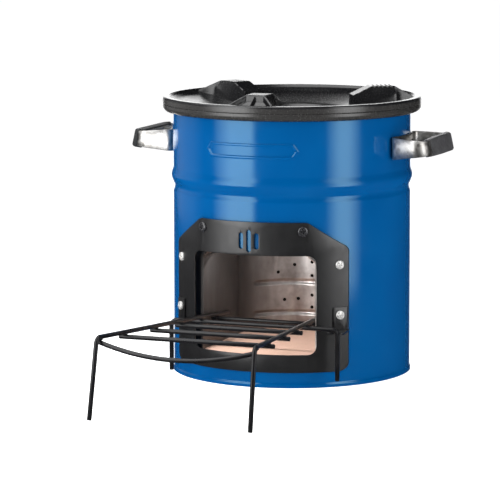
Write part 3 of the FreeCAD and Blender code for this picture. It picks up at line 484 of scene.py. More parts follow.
def grid(bm, rows, close_rows=False, close_columns=False, keep=None):
    """Quads between rows of points; keep(row, column) may leave some of them out."""
    verts = [[bm.verts.new(point) for point in row] for row in rows]
    row_count, column_count = len(verts), len(verts[0])
    for i in range(row_count if close_rows else row_count - 1):
        for j in range(column_count if close_columns else column_count - 1):
            if keep is None or keep(i, j):
                below, beside = (i + 1) % row_count, (j + 1) % column_count
                bm.faces.new((verts[i][j], verts[i][beside], verts[below][beside], verts[below][j]))
    return verts


def drop_loose(bm):
    """Removes points that no face uses."""
    bmesh.ops.delete(bm, geom=[vert for vert in bm.verts if not vert.link_faces], context="VERTS")


def capped(bm, rows):
    """Tube through rings of points, closed at both ends."""
    verts = grid(bm, rows, close_columns=True)
    bm.faces.new(verts[0])
    bm.faces.new(verts[-1][::-1])


def spread(start, stop, step):
    """Even values from start up to, but without, stop."""
    count = max(1, round((stop - start) / step))
    return [start + (stop - start) * index / count for index in range(count)]


def runs(*marks):
    """Values through (start, step) marks up to, but without, the last mark, which is a number."""
    values = []
    for (start, step), after in zip(marks, marks[1:]):
        values += spread(start, after[0] if isinstance(after, tuple) else after, step)
    return values


def smooth(value):
    """Soft step from 0 to 1 as the value goes from 0 to 1."""
    value = min(1.0, max(0.0, value))
    return value * value * (3 - 2 * value)


def around(angle, radius, level):
    """Point at an angle in degrees from the front, positive towards +X."""
    turn = radians(angle)
    return Vector((radius * sin(turn), -radius * cos(turn), level))


def ring(centre, across, up, radius, sides):
    """Points of a circle."""
    return [centre + (across * cos(turn) + up * sin(turn)) * radius
            for turn in spread(0, 2 * pi, 2 * pi / sides)]


def facing_out(angle):
    """Outward and sideways directions at an angle from the front."""
    outward = around(angle, 1, 0)
    return outward, Vector((-outward.y, outward.x, 0))


def rounded(points, radius, closed=False, chord=0.8):
    """A path with arcs at its corners; the radius is one number or one for each point."""
    points = [Vector(point) for point in points]
    radii = list(radius) if isinstance(radius, (list, tuple)) else [radius] * len(points)
    path = []
    for index, (corner, bend) in enumerate(zip(points, radii)):
        if bend <= 0 or (not closed and index in (0, len(points) - 1)):
            path.append(corner)
            continue
        back = (points[index - 1] - corner).normalized()
        ahead = (points[(index + 1) % len(points)] - corner).normalized()
        half = back.angle(ahead) / 2
        centre = corner + (back + ahead).normalized() * (bend / sin(half))
        first = corner + back * (bend / tan(half)) - centre
        last = corner + ahead * (bend / tan(half)) - centre
        sweep = pi - 2 * half
        steps = max(3, ceil(bend * sweep / chord))
        for step in range(steps + 1):
            share = step / steps
            path.append(centre + (first * sin((1 - share) * sweep)
                                  + last * sin(share * sweep)) / sin(sweep))
    return path


def turned(profile, radii, pitch, chord):
    """Closed ring swept about the Z axis from a loop of (radius, level) points with rounded corners."""
    bm = bmesh.new()
    angles = spread(-180, 180, pitch)
    rows = [[around(angle, radius, level) for angle in angles]
            for radius, level in rounded(profile, radii, closed=True, chord=chord)]
    grid(bm, rows, close_rows=True, close_columns=True)
    return bm


def cut_across(bm, axis, places):
    """Adds edges where planes across an axis meet the mesh."""
    for place in places:
        bmesh.ops.bisect_plane(bm, geom=bm.verts[:] + bm.edges[:] + bm.faces[:],
                               plane_co=axis * place, plane_no=axis, dist=1e-3)


def plate(bm, outline, holes=(), cell=4.0):
    """Flat plate in the XZ plane between y = 0 and y = 1, cut into strips that can bend."""
    edges = []
    for loop in (outline, *holes):
        verts = [bm.verts.new((point[0], 0, point[1])) for point in loop]
        edges += [bm.edges.new((verts[index - 1], verts[index])) for index in range(len(verts))]
    bmesh.ops.triangle_fill(bm, edges=edges, use_beauty=True, use_dissolve=False, normal=(0, -1, 0))
    reach = [point[0] for point in outline]
    cut_across(bm, Vector((1, 0, 0)), spread(min(reach), max(reach), cell)[1:])
    grown = bmesh.ops.extrude_face_region(bm, geom=bm.faces[:], use_keep_orig=True)
    for item in grown["geom"]:
        if isinstance(item, bmesh.types.BMVert):
            item.co.y = 1.0


def wrap(bm, outer, sheet):
    """Presses a flat plate along Y onto a round wall; its y = 0 side becomes the outer face."""
    for vert in bm.verts:
        radius = outer - sheet * vert.co.y
        vert.co.y = -sqrt(radius ** 2 - vert.co.x ** 2)


def tube(bm, path, radius, sides=16):
    """Round wire along a path, with softened ends."""
    first = (path[0] - path[1]).normalized()
    last = (path[-1] - path[-2]).normalized()
    softened = ((0.0, 0.72), (0.105, 0.9), (0.3, 1.0))
    start = [(path[0] - first * radius * inset, share) for inset, share in softened]
    end = [(path[-1] - last * radius * inset, share) for inset, share in softened]
    stations = start + [(point, 1.0) for point in path[1:-1]] + end[::-1]
    points = [point for point, _ in stations]
    normal = first.orthogonal().normalized()
    rows = []
    for index, (point, share) in enumerate(stations):
        along = (points[min(index + 1, len(points) - 1)] - points[max(index - 1, 0)]).normalized()
        normal = (normal - along * normal.dot(along)).normalized()
        rows.append(ring(point, normal, along.cross(normal), radius * share, sides))
    capped(bm, rows)


def solid_object(name, bm):
    """Object made from a mesh drawn in millimetres."""
    bmesh.ops.recalc_face_normals(bm, faces=bm.faces)
    bmesh.ops.scale(bm, vec=(0.001, 0.001, 0.001), verts=bm.verts)
    mesh = bpy.data.meshes.new(name)
    bm.to_mesh(mesh)
    bm.free()
    return new_object(name, mesh)


def piece(name, bm, slot, nodes=(), body=STOVE, thickness=0.0, bevel=0.0, sharp=35.0):
    """Finishes a mesh drawn in millimetres and lets it ride on a body in place of CAD nodes."""
    bmesh.ops.remove_doubles(bm, verts=bm.verts, dist=1e-3)
    item = solid_object(name, bm)
    if thickness:
        shell = item.modifiers.new("sheet", "SOLIDIFY")
        shell.thickness = abs(thickness) / 1000
        shell.offset = 1.0 if thickness > 0 else -1.0
        shell.use_even_offset = True
    if bevel:
        edge = item.modifiers.new("edges", "BEVEL")
        edge.width = bevel / 1000
        edge.segments = 2
        edge.limit_method = "ANGLE"
        edge.angle_limit = radians(45)
    settle(item)
    item.data.materials.append(FINISHES[slot])
    item.data.shade_smooth()
    item.data.set_sharp_from_angle(angle=radians(sharp))
    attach(item, body)
    if nodes:
        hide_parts(*nodes)
    return item


def settle(item):
    """Applies a piece's modifiers to its mesh."""
    if item.modifiers:
        graph = bpy.context.evaluated_depsgraph_get()
        result = bpy.data.meshes.new_from_object(item.evaluated_get(graph))
        item.modifiers.clear()
        item.data = result
        result.name = item.name


# ---- can

BODY_RADIUS, CAN_HIGH = 120.0, 264.0
BEAD_LEVEL, BEAD_HALF, BEAD_PROUD = 198.4, 8.6, 2.0
NECK_LEVEL, NECK_HALF, NECK_DEPTH = 186.8, 5.5, 1.3
PANEL_LEVEL, PANEL_HALF, PANEL_RISE, PANEL_NOSE, PANEL_BORDER = 232.0, 48.0, 7.5, 5.0, 3.0
PANEL_REACH = 40.0
HEM_PROUD, HEM_HIGH, HEM_SOFT = 0.8, 3.2, 1.4
SEAM_PROUD, SEAM_HALF, SEAM_SOFT, SEAM_LOW, SEAM_HIGH, SEAM_FADE = 0.7, 4.0, 0.8, 8.0, 258.0, 4.0
CUT_HALF, CUT_LOW, CUT_HIGH = 66.0, 30.0, 133.0


def hump(value, middle, half):
    """Smooth bulge of height 1 round a middle."""
    share = (value - middle) / half
    return (1 - share * share) ** 2 if abs(share) < 1 else 0.0


def panel_relief(across, level):
    """Height of the blank raised border at a point of the can's front."""
    rise = abs(level - PANEL_LEVEL)
    slant = abs(across) * PANEL_RISE + rise * PANEL_NOSE - PANEL_HALF * PANEL_RISE
    outside = max(rise - PANEL_RISE, slant / hypot(PANEL_RISE, PANEL_NOSE))
    proud, shoulder = 0.9, 0.9
    return proud * smooth(-outside / shoulder) * smooth((outside + PANEL_BORDER) / shoulder)


def body_surface(angle, level):
    """Point of the can's outer face."""
    radius = BODY_RADIUS + BEAD_PROUD * hump(level, BEAD_LEVEL, BEAD_HALF)
    radius -= NECK_DEPTH * hump(level, NECK_LEVEL, NECK_HALF)
    radius += HEM_PROUD * (1 - smooth((level - HEM_HIGH) / HEM_SOFT))
    if abs(angle) < PANEL_REACH:
        radius += panel_relief(BODY_RADIUS * sin(radians(angle)), level)
    from_seam = BODY_RADIUS * radians(180 - abs(angle))
    ends = smooth((level - SEAM_LOW) / SEAM_FADE) * smooth((SEAM_HIGH - level) / SEAM_FADE)
    radius += SEAM_PROUD * (1 - smooth((from_seam - SEAM_HALF) / SEAM_SOFT)) * ends
    return around(angle, radius, level)


def make_can():
    """Sheet can with its bead, neck, hem, seam and raised border, open behind the frame."""
    edge = degrees(asin(CUT_HALF / BODY_RADIUS))
    panel, seam = 26, 175
    angles = runs((-180, 0.4), (-seam, 2), (-edge, 1.5), (-panel, 0.3), (panel, 1.5), (edge, 2),
                  (seam, 0.4), 180)
    levels = runs((0, 0.6), (5, 5), (CUT_LOW, 6), (CUT_HIGH, 5), (181, 0.75), (208, 2), (223, 0.45),
                  (241, 3), CAN_HIGH) + [CAN_HIGH]

    def keep(row, column):
        beside = angles[(column + 1) % len(angles)]
        in_front = -edge - 0.01 <= angles[column] and beside <= edge + 0.01 and beside > angles[column]
        in_window = CUT_LOW - 0.01 <= levels[row] and levels[row + 1] <= CUT_HIGH + 0.01
        return not (in_front and in_window)

    bm = bmesh.new()
    rows = [[body_surface(angle, level) for angle in angles] for level in levels]
    grid(bm, rows, close_columns=True, keep=keep)
    piece("can", bm, "body_paint", ["body_shell"], thickness=-0.9)


def make_base():
    """Bottom pan with two pressed rings."""
    high = box("base_pan")[1]
    outer, top = high.x, high.z
    inner_face = [(0, 1.0), (48, 1.0), (51, 1.9), (57, 1.9), (60, 1.0), (92, 1.0), (95, 1.9),
                  (101, 1.9), (104, 1.0), (outer - 1, 1.0), (outer - 1, top)]
    under = [(radius, level - 1.0) for radius, level in inner_face[:-2]]
    profile = inner_face + [(outer, top), (outer, 0.0)] + under[::-1]
    radii = [0] + [1.6] * 8 + [1.2, 0.3, 0.3, 1.2] + [1.6] * 8 + [0]
    piece("bottom_pan", turned(profile, radii, 2.5, 0.8), "pan_steel", ["base_pan"])


# ---- cast top

DISH_LIP, DISH_EDGE, DISH_RIM, FLUE, SPIGOT = 130.0, 124.0, 276.6, 52.0, 58.4
DISH_FOOT, DISH_FOOT_LEVEL, DISH_HEEL, DISH_HEEL_LEVEL = 64.4, 263.5, 118.0, 272.0
COLLAR_INNER, COLLAR_BORE = 113.0, 120.6
SUPPORT_TOP, SUPPORT_HALF, SUPPORT_IN = 285.0, 10.0, 61.0
CREST_IN, CREST_OUT, SUPPORT_OUT, SUPPORT_FLARE = 80.0, 103.0, 120.0, 26.0
SUPPORT_ANGLES = (30.0, 150.0, 270.0)
TOOTH_FIRST, TOOTH_PITCH, TOOTH_GROOVE, TOOTH_DEPTH, TOOTH_COUNT = CREST_IN + 1.6, 4.28, 1.8, 1.3, 5
POCKET_START, POCKET_FLOOR, POCKET_FALL, POCKET_WALL, POCKET_RIB = 104.5, 279.6, 0.62, 2.4, 0.9


def make_collar():
    """Lower ring of the top, with a round lower edge."""
    low, high = box("top_collar")
    profile = [(COLLAR_INNER, CAN_HIGH), (COLLAR_BORE, CAN_HIGH), (COLLAR_BORE, low.z),
               (DISH_LIP, low.z), (DISH_LIP, high.z), (COLLAR_INNER, high.z)]
    bm = turned(profile, [0, 0, 0.5, 5.5, 0.7, 0], 1.25, 0.5)
    piece("top_ring", bm, "cast_iron", ["top_collar"])


def dish_level(reach):
    """Height of the dish's upper face."""
    return np.interp(reach, (DISH_FOOT, DISH_HEEL, DISH_EDGE), (DISH_FOOT_LEVEL, DISH_HEEL_LEVEL, 274.4))


def soft_min(first, second, softness=0.3):
    """The lower of two heights, with their crossing rounded off."""
    low = np.minimum(first, second)
    return low - softness * np.log(np.exp((low - first) / softness) + np.exp((low - second) / softness))


def support_height(reach, aside):
    """Height of one pot support over its plan: crest, slopes, braced flanks, teeth and pockets."""
    stations = (SUPPORT_IN, CREST_IN, CREST_OUT, SUPPORT_OUT)
    inner_fall, outer_fall = 9 / 19, 10.4 / 17
    side = np.abs(aside)
    top = soft_min(SUPPORT_TOP - (CREST_IN - reach) * inner_fall,
                   SUPPORT_TOP - (reach - CREST_OUT) * outer_fall)
    top = soft_min(top, SUPPORT_TOP)
    half = np.interp(reach, stations, (11, 10, SUPPORT_HALF, SUPPORT_FLARE))
    slope = np.interp(reach, stations, (3.2, 2.7, 1.6, 6.0))
    brace = 265.3 + (reach - 76) * 0.43
    foot = half + (top - brace) / slope
    height = soft_min(soft_min(top, top - (side - half) * slope), brace - (side - foot) * 6)
    past = reach - TOOTH_FIRST
    in_groove = (past % TOOTH_PITCH < TOOTH_GROOVE) & (past > -0.1) & (past < TOOTH_COUNT * TOOTH_PITCH)
    height = np.where(in_groove, np.minimum(height, SUPPORT_TOP - TOOTH_DEPTH), height)
    floor = POCKET_FLOOR - (reach - POCKET_START) * POCKET_FALL
    inside = np.minimum(half - POCKET_WALL - side, reach - POCKET_START)
    pocket = np.maximum(floor + np.clip(0.9 - inside, 0, None) * 5, floor + 2.0 - (side - POCKET_RIB) * 3)
    pocket = np.where(inside > -0.5, pocket, 400.0)
    return np.where(reach > POCKET_START - 0.5, soft_min(height, pocket), height)


def add_support(bm, angle):
    """Closed solid of one pot support, sunk a little into the dish."""
    cell, reach_end, aside_end, sunk = 0.45, 123.4, 29.25, 1.6
    reach, aside = np.meshgrid(np.arange(SUPPORT_IN - cell, reach_end, cell),
                               np.arange(-aside_end, aside_end + 0.05, cell), indexing="ij")
    bottom = dish_level(reach) - sunk
    beyond = (reach < SUPPORT_IN) | (reach > reach_end - 0.4) | (np.abs(aside) > aside_end - 0.25)
    top = np.where(beyond, -1.0, support_height(reach, aside))
    solid = top > bottom
    used = solid[:-1, :-1] | solid[1:, :-1] | solid[:-1, 1:] | solid[1:, 1:]
    turn = radians(angle)
    cosine, sine = cos(turn), sin(turn)

    def rows(levels):
        return [[(out * cosine - side * sine, out * sine + side * cosine, level)
                 for out, side, level in zip(*row)]
                for row in zip(reach.tolist(), aside.tolist(), levels.tolist())]

    for levels in (np.maximum(top, bottom), bottom):
        grid(bm, rows(levels), keep=lambda row, column: used[row, column])
    drop_loose(bm)


def make_cast_top():
    """Dish with a rounded lip and a flue spigot; three pot supports stand in it."""
    bottom = box("cast_top")[0].z
    seat = box("top_collar")[1].z
    profile = [(111, seat), (DISH_LIP, seat), (DISH_LIP, DISH_RIM), (DISH_EDGE, DISH_RIM),
               (DISH_EDGE - 2.2, 274.0), (DISH_HEEL, DISH_HEEL_LEVEL), (DISH_FOOT, DISH_FOOT_LEVEL),
               (SPIGOT, 262.5), (FLUE, 257.5), (FLUE, bottom), (SPIGOT, bottom), (SPIGOT, 256.5),
               (62.4, 258.5), (111, 266)]
    radii = [0, 0.7, 1.9, 0.5, 0.6, 3, 6, 2.5, 3, 0.8, 0.8, 1, 1, 0]
    bm = turned(profile, radii, 1.25, 0.5)
    for angle in SUPPORT_ANGLES:
        add_support(bm, angle)
    piece("cast_plate", bm, "cast_iron", ["cast_top"], sharp=40)


# ---- front frame and brackets

FRAME_FACE, FRAME_SHEET, FRAME_CORNER = 122.3, 1.5, 8.0
OPENING_HALF, OPENING_LOW, OPENING_HIGH = 63.7, 33.0, 130.5


def capsule(x, z, width, height):
    """Upright slot with round ends."""
    half, straight = width / 2, (height - width) / 2
    points = []
    for end, start in ((1, 0), (-1, 180)):
        for turn in range(start, start + 181, 20):
            angle = radians(turn)
            points.append((x + half * cos(angle), z + end * straight + half * sin(angle)))
    return points


def make_frame():
    """Curved plate round the opening, with the three vent slots."""
    low, high = box("front_frame")
    shoulder, top_half = 137.5, 56.0
    outline = rounded([(low.x, low.z), (high.x, low.z), (high.x, shoulder), (top_half, high.z),
                       (-top_half, high.z), (low.x, shoulder)], FRAME_CORNER, closed=True, chord=1.2)
    opening = rounded([(-OPENING_HALF, OPENING_LOW), (OPENING_HALF, OPENING_LOW),
                       (OPENING_HALF, OPENING_HIGH), (-OPENING_HALF, OPENING_HIGH)], FRAME_CORNER,
                      closed=True, chord=1.2)
    slot_pitch, slot_level, slot_width = 8.0, 144.4, 4.6
    slots = [capsule(slot_pitch * place, slot_level, slot_width, height)
             for place, height in ((-1, 16), (0, 22), (1, 16))]
    bm = bmesh.new()
    plate(bm, outline, [opening] + slots, cell=3.0)
    wrap(bm, FRAME_FACE, FRAME_SHEET)
    piece("fuel_frame", bm, "frame_black", ["front_frame"], bevel=0.35)


def make_bracket(side, node):
    """Tab under the lower screw, with a forked hook for the wire support at its foot."""
    low, high = box(node)
    inner, outer = (low.x, high.x) if side > 0 else (-high.x, -low.x)
    tab_outer, sheet, wire_x, wire = 89.0, 1.5, 87.0, 4.5
    bm = bmesh.new()
    plate(bm, [(inner, low.z), (tab_outer, low.z), (tab_outer, high.z), (inner, high.z)], cell=2.0)
    wrap(bm, FRAME_FACE + sheet, sheet)
    notch_left, notch_right, notch_back = wire_x - wire / 2 - 3, wire_x + wire / 2 + 1, -109 + wire
    curb = -sqrt(FRAME_FACE ** 2 - inner ** 2) - 0.4
    fork = [(inner, curb), (inner, low.y), (notch_left, low.y), (notch_left, notch_back),
            (notch_right, notch_back), (notch_right, low.y), (outer, low.y + 4), (90.4, -82.6)]
    hook = bmesh.new()
    plate(hook, rounded(fork, [0, 1.2, 1.2, 1.5, 1.5, 1.0, 2.0, 0], closed=True), cell=1.5)
    curl_from, curl_run, curl_rise = 110.5, 4.5, 1.6
    for vert in hook.verts:
        depth, through = vert.co.z, vert.co.y
        curl = curl_rise * smooth((-depth - curl_from) / curl_run)
        vert.co = (vert.co.x, depth, low.z + sheet * (1 - through) + curl)
    part = bpy.data.meshes.new("hook")
    hook.to_mesh(part)
    hook.free()
    bm.from_mesh(part)
    bpy.data.meshes.remove(part)
    if side < 0:
        for vert in bm.verts:
            vert.co.x = -vert.co.x
    piece(node.replace("bracket", "hook_bracket"), bm, "frame_black", [node], bevel=0.3)


# ---- fasteners

def add_screw_head(bm, angle, level, seat, radius, height):
    """Pan head with a cross recess, drawn as a height over its round base."""
    centre = around(angle, seat, level)
    outward, sideways = facing_out(angle)
    turn_by = radians(20 + 3 * angle)
    sides, edge_share, arm_long, arm_half, recess, recess_soft = 64, 0.42, 2.6, 0.75, 1.4, 0.5
    rows = []
    for share in (0, 0.12, 0.24, 0.36, 0.46, 0.54, 0.62, 0.72, 0.82, 0.9, 0.96, 1.0):
        dome = height * (edge_share + (1 - edge_share) * sqrt(max(0.0, 1 - share ** 2.6)))
        row = []
        for turn in spread(0, 2 * pi, 2 * pi / sides):
            across = abs(share * radius * cos(turn - turn_by))
            along = abs(share * radius * sin(turn - turn_by))
            arm = min(max(across - arm_long, along - arm_half), max(along - arm_long, across - arm_half))
            deep = recess * smooth(0.5 - arm / recess_soft)
            spoke = sideways * cos(turn) + UP * sin(turn)
            row.append(centre + spoke * share * radius + outward * (dome - deep))
        rows.append(row)
    rows.append(ring(centre, sideways, UP, radius, sides))
    verts = grid(bm, rows, close_columns=True)
    bm.faces.new(verts[-1])


def make_screws():
    """The three pairs of screw heads on the frame."""
    face, tab_face = FRAME_FACE + 0.1, FRAME_FACE + 1.6
    groups = (("screws_dark", "frame_screws_top", "dark_steel", face, 5.0, 25.2),
              ("screws_side", "frame_screws_side", "zinc", face, 4.3, 42.5),
              ("screws_bracket", "bracket_screws", "zinc", tab_face, 4.3, 42.5))
    for name, node, slot, seat, radius, angle in groups:
        low, high = box(node)
        bm = bmesh.new()
        for side in (-1, 1):
            add_screw_head(bm, side * angle, (low.z + high.z) / 2, seat, radius, 2.5)
        piece(name, bm, slot, [node], sharp=50)


def make_rivets():
    """Domed rivet heads, two for each strap."""
    seat, spacing, sides = 121.8, 10, 40
    dome = rounded([(4.5, -0.9), (4.5, 0.5), (2.6, 2.0), (0.0, 2.2)], [0, 0.4, 1.5, 0])
    for node, middle in (("handle_rivets_left", -90), ("handle_rivets_right", 90)):
        low, high = box(node)
        bm = bmesh.new()
        for angle in (middle - spacing, middle + spacing):
            centre = around(angle, seat, (low.z + high.z) / 2)
            outward, sideways = facing_out(angle)
            rows = [ring(centre + outward * height, sideways, UP, radius, sides)
                    for radius, height in dome]
            verts = grid(bm, rows, close_columns=True)
            bm.faces.new(verts[0])
        piece(node + "_heads", bm, "dark_steel", [node], sharp=50)


# ---- handles

STRAP_SHEET, BAR_REACH, BAR_HALF, BAR_TILT = 1.5, 154.0, 48.0, 12.0
STRAP_LOW, STRAP_HIGH, BAR_LOW, BAR_HIGH = 219.0, 241.0, 224.6, 239.0
BAR_LEAN = (BAR_HIGH - BAR_LOW) * tan(radians(BAR_TILT))
MOUNT_HALF, MOUNT_RADIUS = 30.0, 120.95


def strap_path():
    """Half of the right strap's centre line in plan, from the mount's middle to the bar's middle."""
    edge = asin(MOUNT_HALF / MOUNT_RADIUS)
    mount = [Vector((MOUNT_RADIUS * cos(turn), MOUNT_RADIUS * sin(turn)))
             for turn in spread(0, edge, edge / 8)]
    foot = Vector((MOUNT_RADIUS * cos(edge), MOUNT_HALF))
    fold = Vector((foot.x + 0.5, MOUNT_HALF + 6))
    arms = rounded([foot, fold, (BAR_REACH, BAR_HALF), (BAR_REACH, 0)], [0, 6, 11, 0], chord=1.0)
    return mount + arms, foot.x


def loop_stations():
    """The whole loop as (point, outward normal, share of the way out to the bar)."""
    half, start = strap_path()
    points = half + [Vector((point.x, -point.y)) for point in half[-2:0:-1]]
    stations = []
    for index, point in enumerate(points):
        along = (points[(index + 1) % len(points)] - points[index - 1]).normalized()
        share = min(1.0, max(0.0, (point.x - start) / (BAR_REACH - start)))
        stations.append((point, Vector((-along.y, along.x)), share))
    return stations


def make_strap(side, node):
    """Closed strap loop that narrows towards its tilted bar."""
    thick, soft = STRAP_SHEET / 2, 0.35
    bm = bmesh.new()
    rows = []
    for point, normal, share in loop_stations():
        low = STRAP_LOW + (BAR_LOW - STRAP_LOW) * share
        high = STRAP_HIGH + (BAR_HIGH - STRAP_HIGH) * share
        row = []
        for offset, level in ((thick, low + soft), (thick, high - soft), (thick - soft, high),
                              (soft - thick, high), (-thick, high - soft), (-thick, low + soft),
                              (soft - thick, low), (thick - soft, low)):
            lean = BAR_LEAN * share * (high - level) / (high - low)
            row.append((side * (point.x + normal.x * offset + lean), point.y + normal.y * offset, level))
        rows.append(row)
    grid(bm, rows, close_rows=True, close_columns=True)
    piece(node.replace("handle_strap", "strap"), bm, "galvanised", [node], sharp=50)


def make_grip(side, node):
    """Rolled channel with curled lips, pressed round the bar and a little way round its corners."""
    wall, rise, depth, clear, lip, curl = 1.4, 9.2, 6.6, STRAP_SHEET / 2 + 0.3, 0.9, 1.6
    bar_from, right_start = 147.5, -31.0
    section = rounded([(-depth, rise - lip), (-depth, rise), (clear + wall, rise), (clear + wall, -rise),
                       (-depth, -rise), (-depth, lip - rise), (-depth + curl, lip + wall - rise),
                       (clear, wall - rise), (clear, rise - wall), (-depth + curl, rise - wall - lip)],
                      [0, 0.7, 2.6, 2.6, 0.7, 0, 0.5, 1.4, 1.4, 0.5], closed=True, chord=0.5)
    middle = (BAR_LOW + BAR_HIGH) / 2
    tilt = radians(BAR_TILT)
    stations = [(point, normal) for point, normal, _ in loop_stations() if point.x > bar_from]
    if side > 0:
        stations = [station for station in stations if station[0].y > right_start]
        stations.append((Vector((BAR_REACH, right_start)), Vector((1.0, 0.0))))
    bm = bmesh.new()
    rows = []
    for index, (point, normal) in enumerate(stations):
        shrink = 0.93 if index in (0, len(stations) - 1) else 1.0
        row = []
        for out, up in section:
            away = (out * cos(tilt) - up * sin(tilt)) * shrink
            level = middle + (out * sin(tilt) + up * cos(tilt)) * shrink
            row.append((side * (point.x + BAR_LEAN / 2 + normal.x * away), point.y + normal.y * away, level))
        rows.append(row)
    capped(bm, rows)
    piece(node.replace("grip", "hand_grip"), bm, "grip_black", [node], sharp=50)


# ---- stick support

WIRE = 4.5
SHOULDER = Vector((78.1, -310.0, 75.6))
RAIL_END = Vector((49.0, -52.0, 61.3))
FOOT_X, FOOT_Y = 79.6, 325.6
RAIL_BEND, HOOP_BEND, BEAD_OFFSET = 7.0, 6.0, 1.3
ARC_DEPTH, ARC_DROP, ARC_FORWARD, ARC_OVERHANG = 303.0, 12.0, 5.0, 3.0


def rail_point(depth, side=1):
    """Point of a rail's centre line at a depth in front of the stove's axis."""
    point = SHOULDER.lerp(RAIL_END, (-SHOULDER.y - depth) / (RAIL_END.y - SHOULDER.y))
    return Vector((side * point.x, -depth, point.z))


def weld(bm, place):
    """Small uneven bead of weld metal that lies across a rail."""
    size, stretch, uneven, turns, sides = 1.25, 1.5, 0.16, 6, 10
    along = Vector((1, 0, 0))
    across = along.orthogonal().normalized()
    up = along.cross(across)
    rows = []
    for index in range(turns + 1):
        turn = pi * index / turns
        row = []
        for step in range(sides):
            spin = 2 * pi * step / sides
            swell = 1 + uneven * sin(3 * spin + 2 * index + place.x)
            spoke = across * cos(spin) + up * sin(spin)
            row.append(place + (along * cos(turn) * stretch + spoke * sin(turn) * swell) * size)
        rows.append(row)
    grid(bm, rows, close_columns=True)


def wire(name, path, node):
    """One wire of the stick support."""
    bm = bmesh.new()
    tube(bm, path, WIRE / 2)
    piece(name, bm, "wire_black", [node], SUPPORT, sharp=50)


def make_support():
    """Rails with their front legs, rear hoop, rungs, front arc and the weld beads between them."""
    tilt = atan((FOOT_Y + SHOULDER.y) / SHOULDER.z)
    for side, name in ((-1, "left"), (1, "right")):
        foot = Vector((side * FOOT_X, -FOOT_Y, WIRE / 2 * sin(tilt)))
        path = rounded([foot, rail_point(-SHOULDER.y, side), rail_point(-RAIL_END.y, side)], RAIL_BEND)
        wire("rail_wire_" + name, path, "support_rail_" + name)
    low, high = box("support_rear_hoop")
    half, back, top = high.x - WIRE / 2, (low.y + high.y) / 2, high.z - WIRE / 2
    wire("hoop_wire", rounded([(-half, back, low.z), (-half, back, top), (half, back, top),
                               (half, back, low.z)], HOOP_BEND), "support_rear_hoop")
    cross_depths = [-back]
    for number in (1, 2, 3, 4):
        low, high = box("support_rung_%d" % number)
        middle = (low + high) / 2
        wire("rung_wire_%d" % number, [Vector((x, middle.y, middle.z)) for x in (low.x, -20, 20, high.x)],
             "support_rung_%d" % number)
        cross_depths.append(-middle.y)
    end = rail_point(ARC_DEPTH) + Vector((ARC_OVERHANG, 0, -WIRE))
    path = []
    for share in spread(-1, 1.001, 0.05):
        bow = 1 - share * share
        path.append(Vector((share * end.x, end.y - ARC_FORWARD * bow, end.z - ARC_DROP * bow)))
    wire("bowed_wire", path, "support_front_arc")
    cross_depths.append(ARC_DEPTH)
    beads = bmesh.new()
    for depth in cross_depths:
        for side in (-1, 1):
            joint = rail_point(depth, side) - Vector((0, 0, WIRE / 2))
            for way in (-1, 1):
                weld(beads, joint + Vector((0, way * BEAD_OFFSET, 0)))
    piece("weld_beads", beads, "wire_black", body=SUPPORT, sharp=60)


# ---- chamber

CHUTE_HALF, CHUTE_TOP, CHUTE_LOW, CHUTE_CORNER = 59.5, 131.0, 18.0, 9.0
RISER, RISER_SHEET, RISER_TOP, RIB_PROUD = 60.0, 1.0, 252.0, 1.6
RIB_LEVELS, RIB_HALF, RIB_REACH, RIB_FADE = (45.5, 77.5), 3.4, 62, 6
AIR_HOLE = 1.8
AIR_HOLES = [(0.0, 98.2), (0.0, 84.1), (0.0, 63.7), (0.0, 51.2)]
AIR_HOLES += [(side * angle, level) for side in (-1, 1)
              for angle, level in ((17.5, 95.1), (33.7, 87.5), (13.8, 59.6), (27.4, 58.6))]


def make_riser():
    """Round flue tube with two ribs at its back, open in front where the duct enters."""
    pitch = 2
    angles = spread(-180, 180, pitch)
    levels = runs((CHUTE_LOW, 2), (40, 0.5), (51, 3), (72, 0.5), (83, 4), (CHUTE_TOP + 1, 8),
                  RISER_TOP) + [RISER_TOP]

    def surface(angle, level):
        fade = smooth((RIB_REACH - (180 - abs(angle))) / RIB_FADE)
        rib = sum(hump(level, middle, RIB_HALF) for middle in RIB_LEVELS)
        return around(angle, RISER + RIB_PROUD * rib * fade, level)

    def keep(row, column):
        middle = around(angles[column] + pitch / 2, RISER, 0)
        return not (abs(middle.x) < CHUTE_HALF + 0.4 and middle.y < 0 and levels[row] < CHUTE_TOP)

    bm = bmesh.new()
    grid(bm, [[surface(angle, level) for angle in angles] for level in levels],
         close_columns=True, keep=keep)
    drop_loose(bm)
    drill(piece("riser_tube", bm, "chamber_steel", ["riser_liner"], thickness=RISER_SHEET))


def drill(liner):
    """Cuts the round air holes through the back of the riser."""
    before, length, sides = 5, 12, 20
    bm = bmesh.new()
    for angle, level in AIR_HOLES:
        outward, sideways = facing_out(180 - angle)
        base = around(180 - angle, RISER - before, level)
        rows = [ring(base + outward * reach, sideways, UP, AIR_HOLE, sides)
                for reach in (0, length)]
        capped(bm, rows)
    drills = solid_object("drills", bm)
    cut = liner.modifiers.new("holes", "BOOLEAN")
    cut.operation = "DIFFERENCE"
    cut.solver = "EXACT"
    cut.object = drills
    settle(liner)
    bpy.data.objects.remove(drills)
    liner.data.set_sharp_from_angle(angle=radians(40))


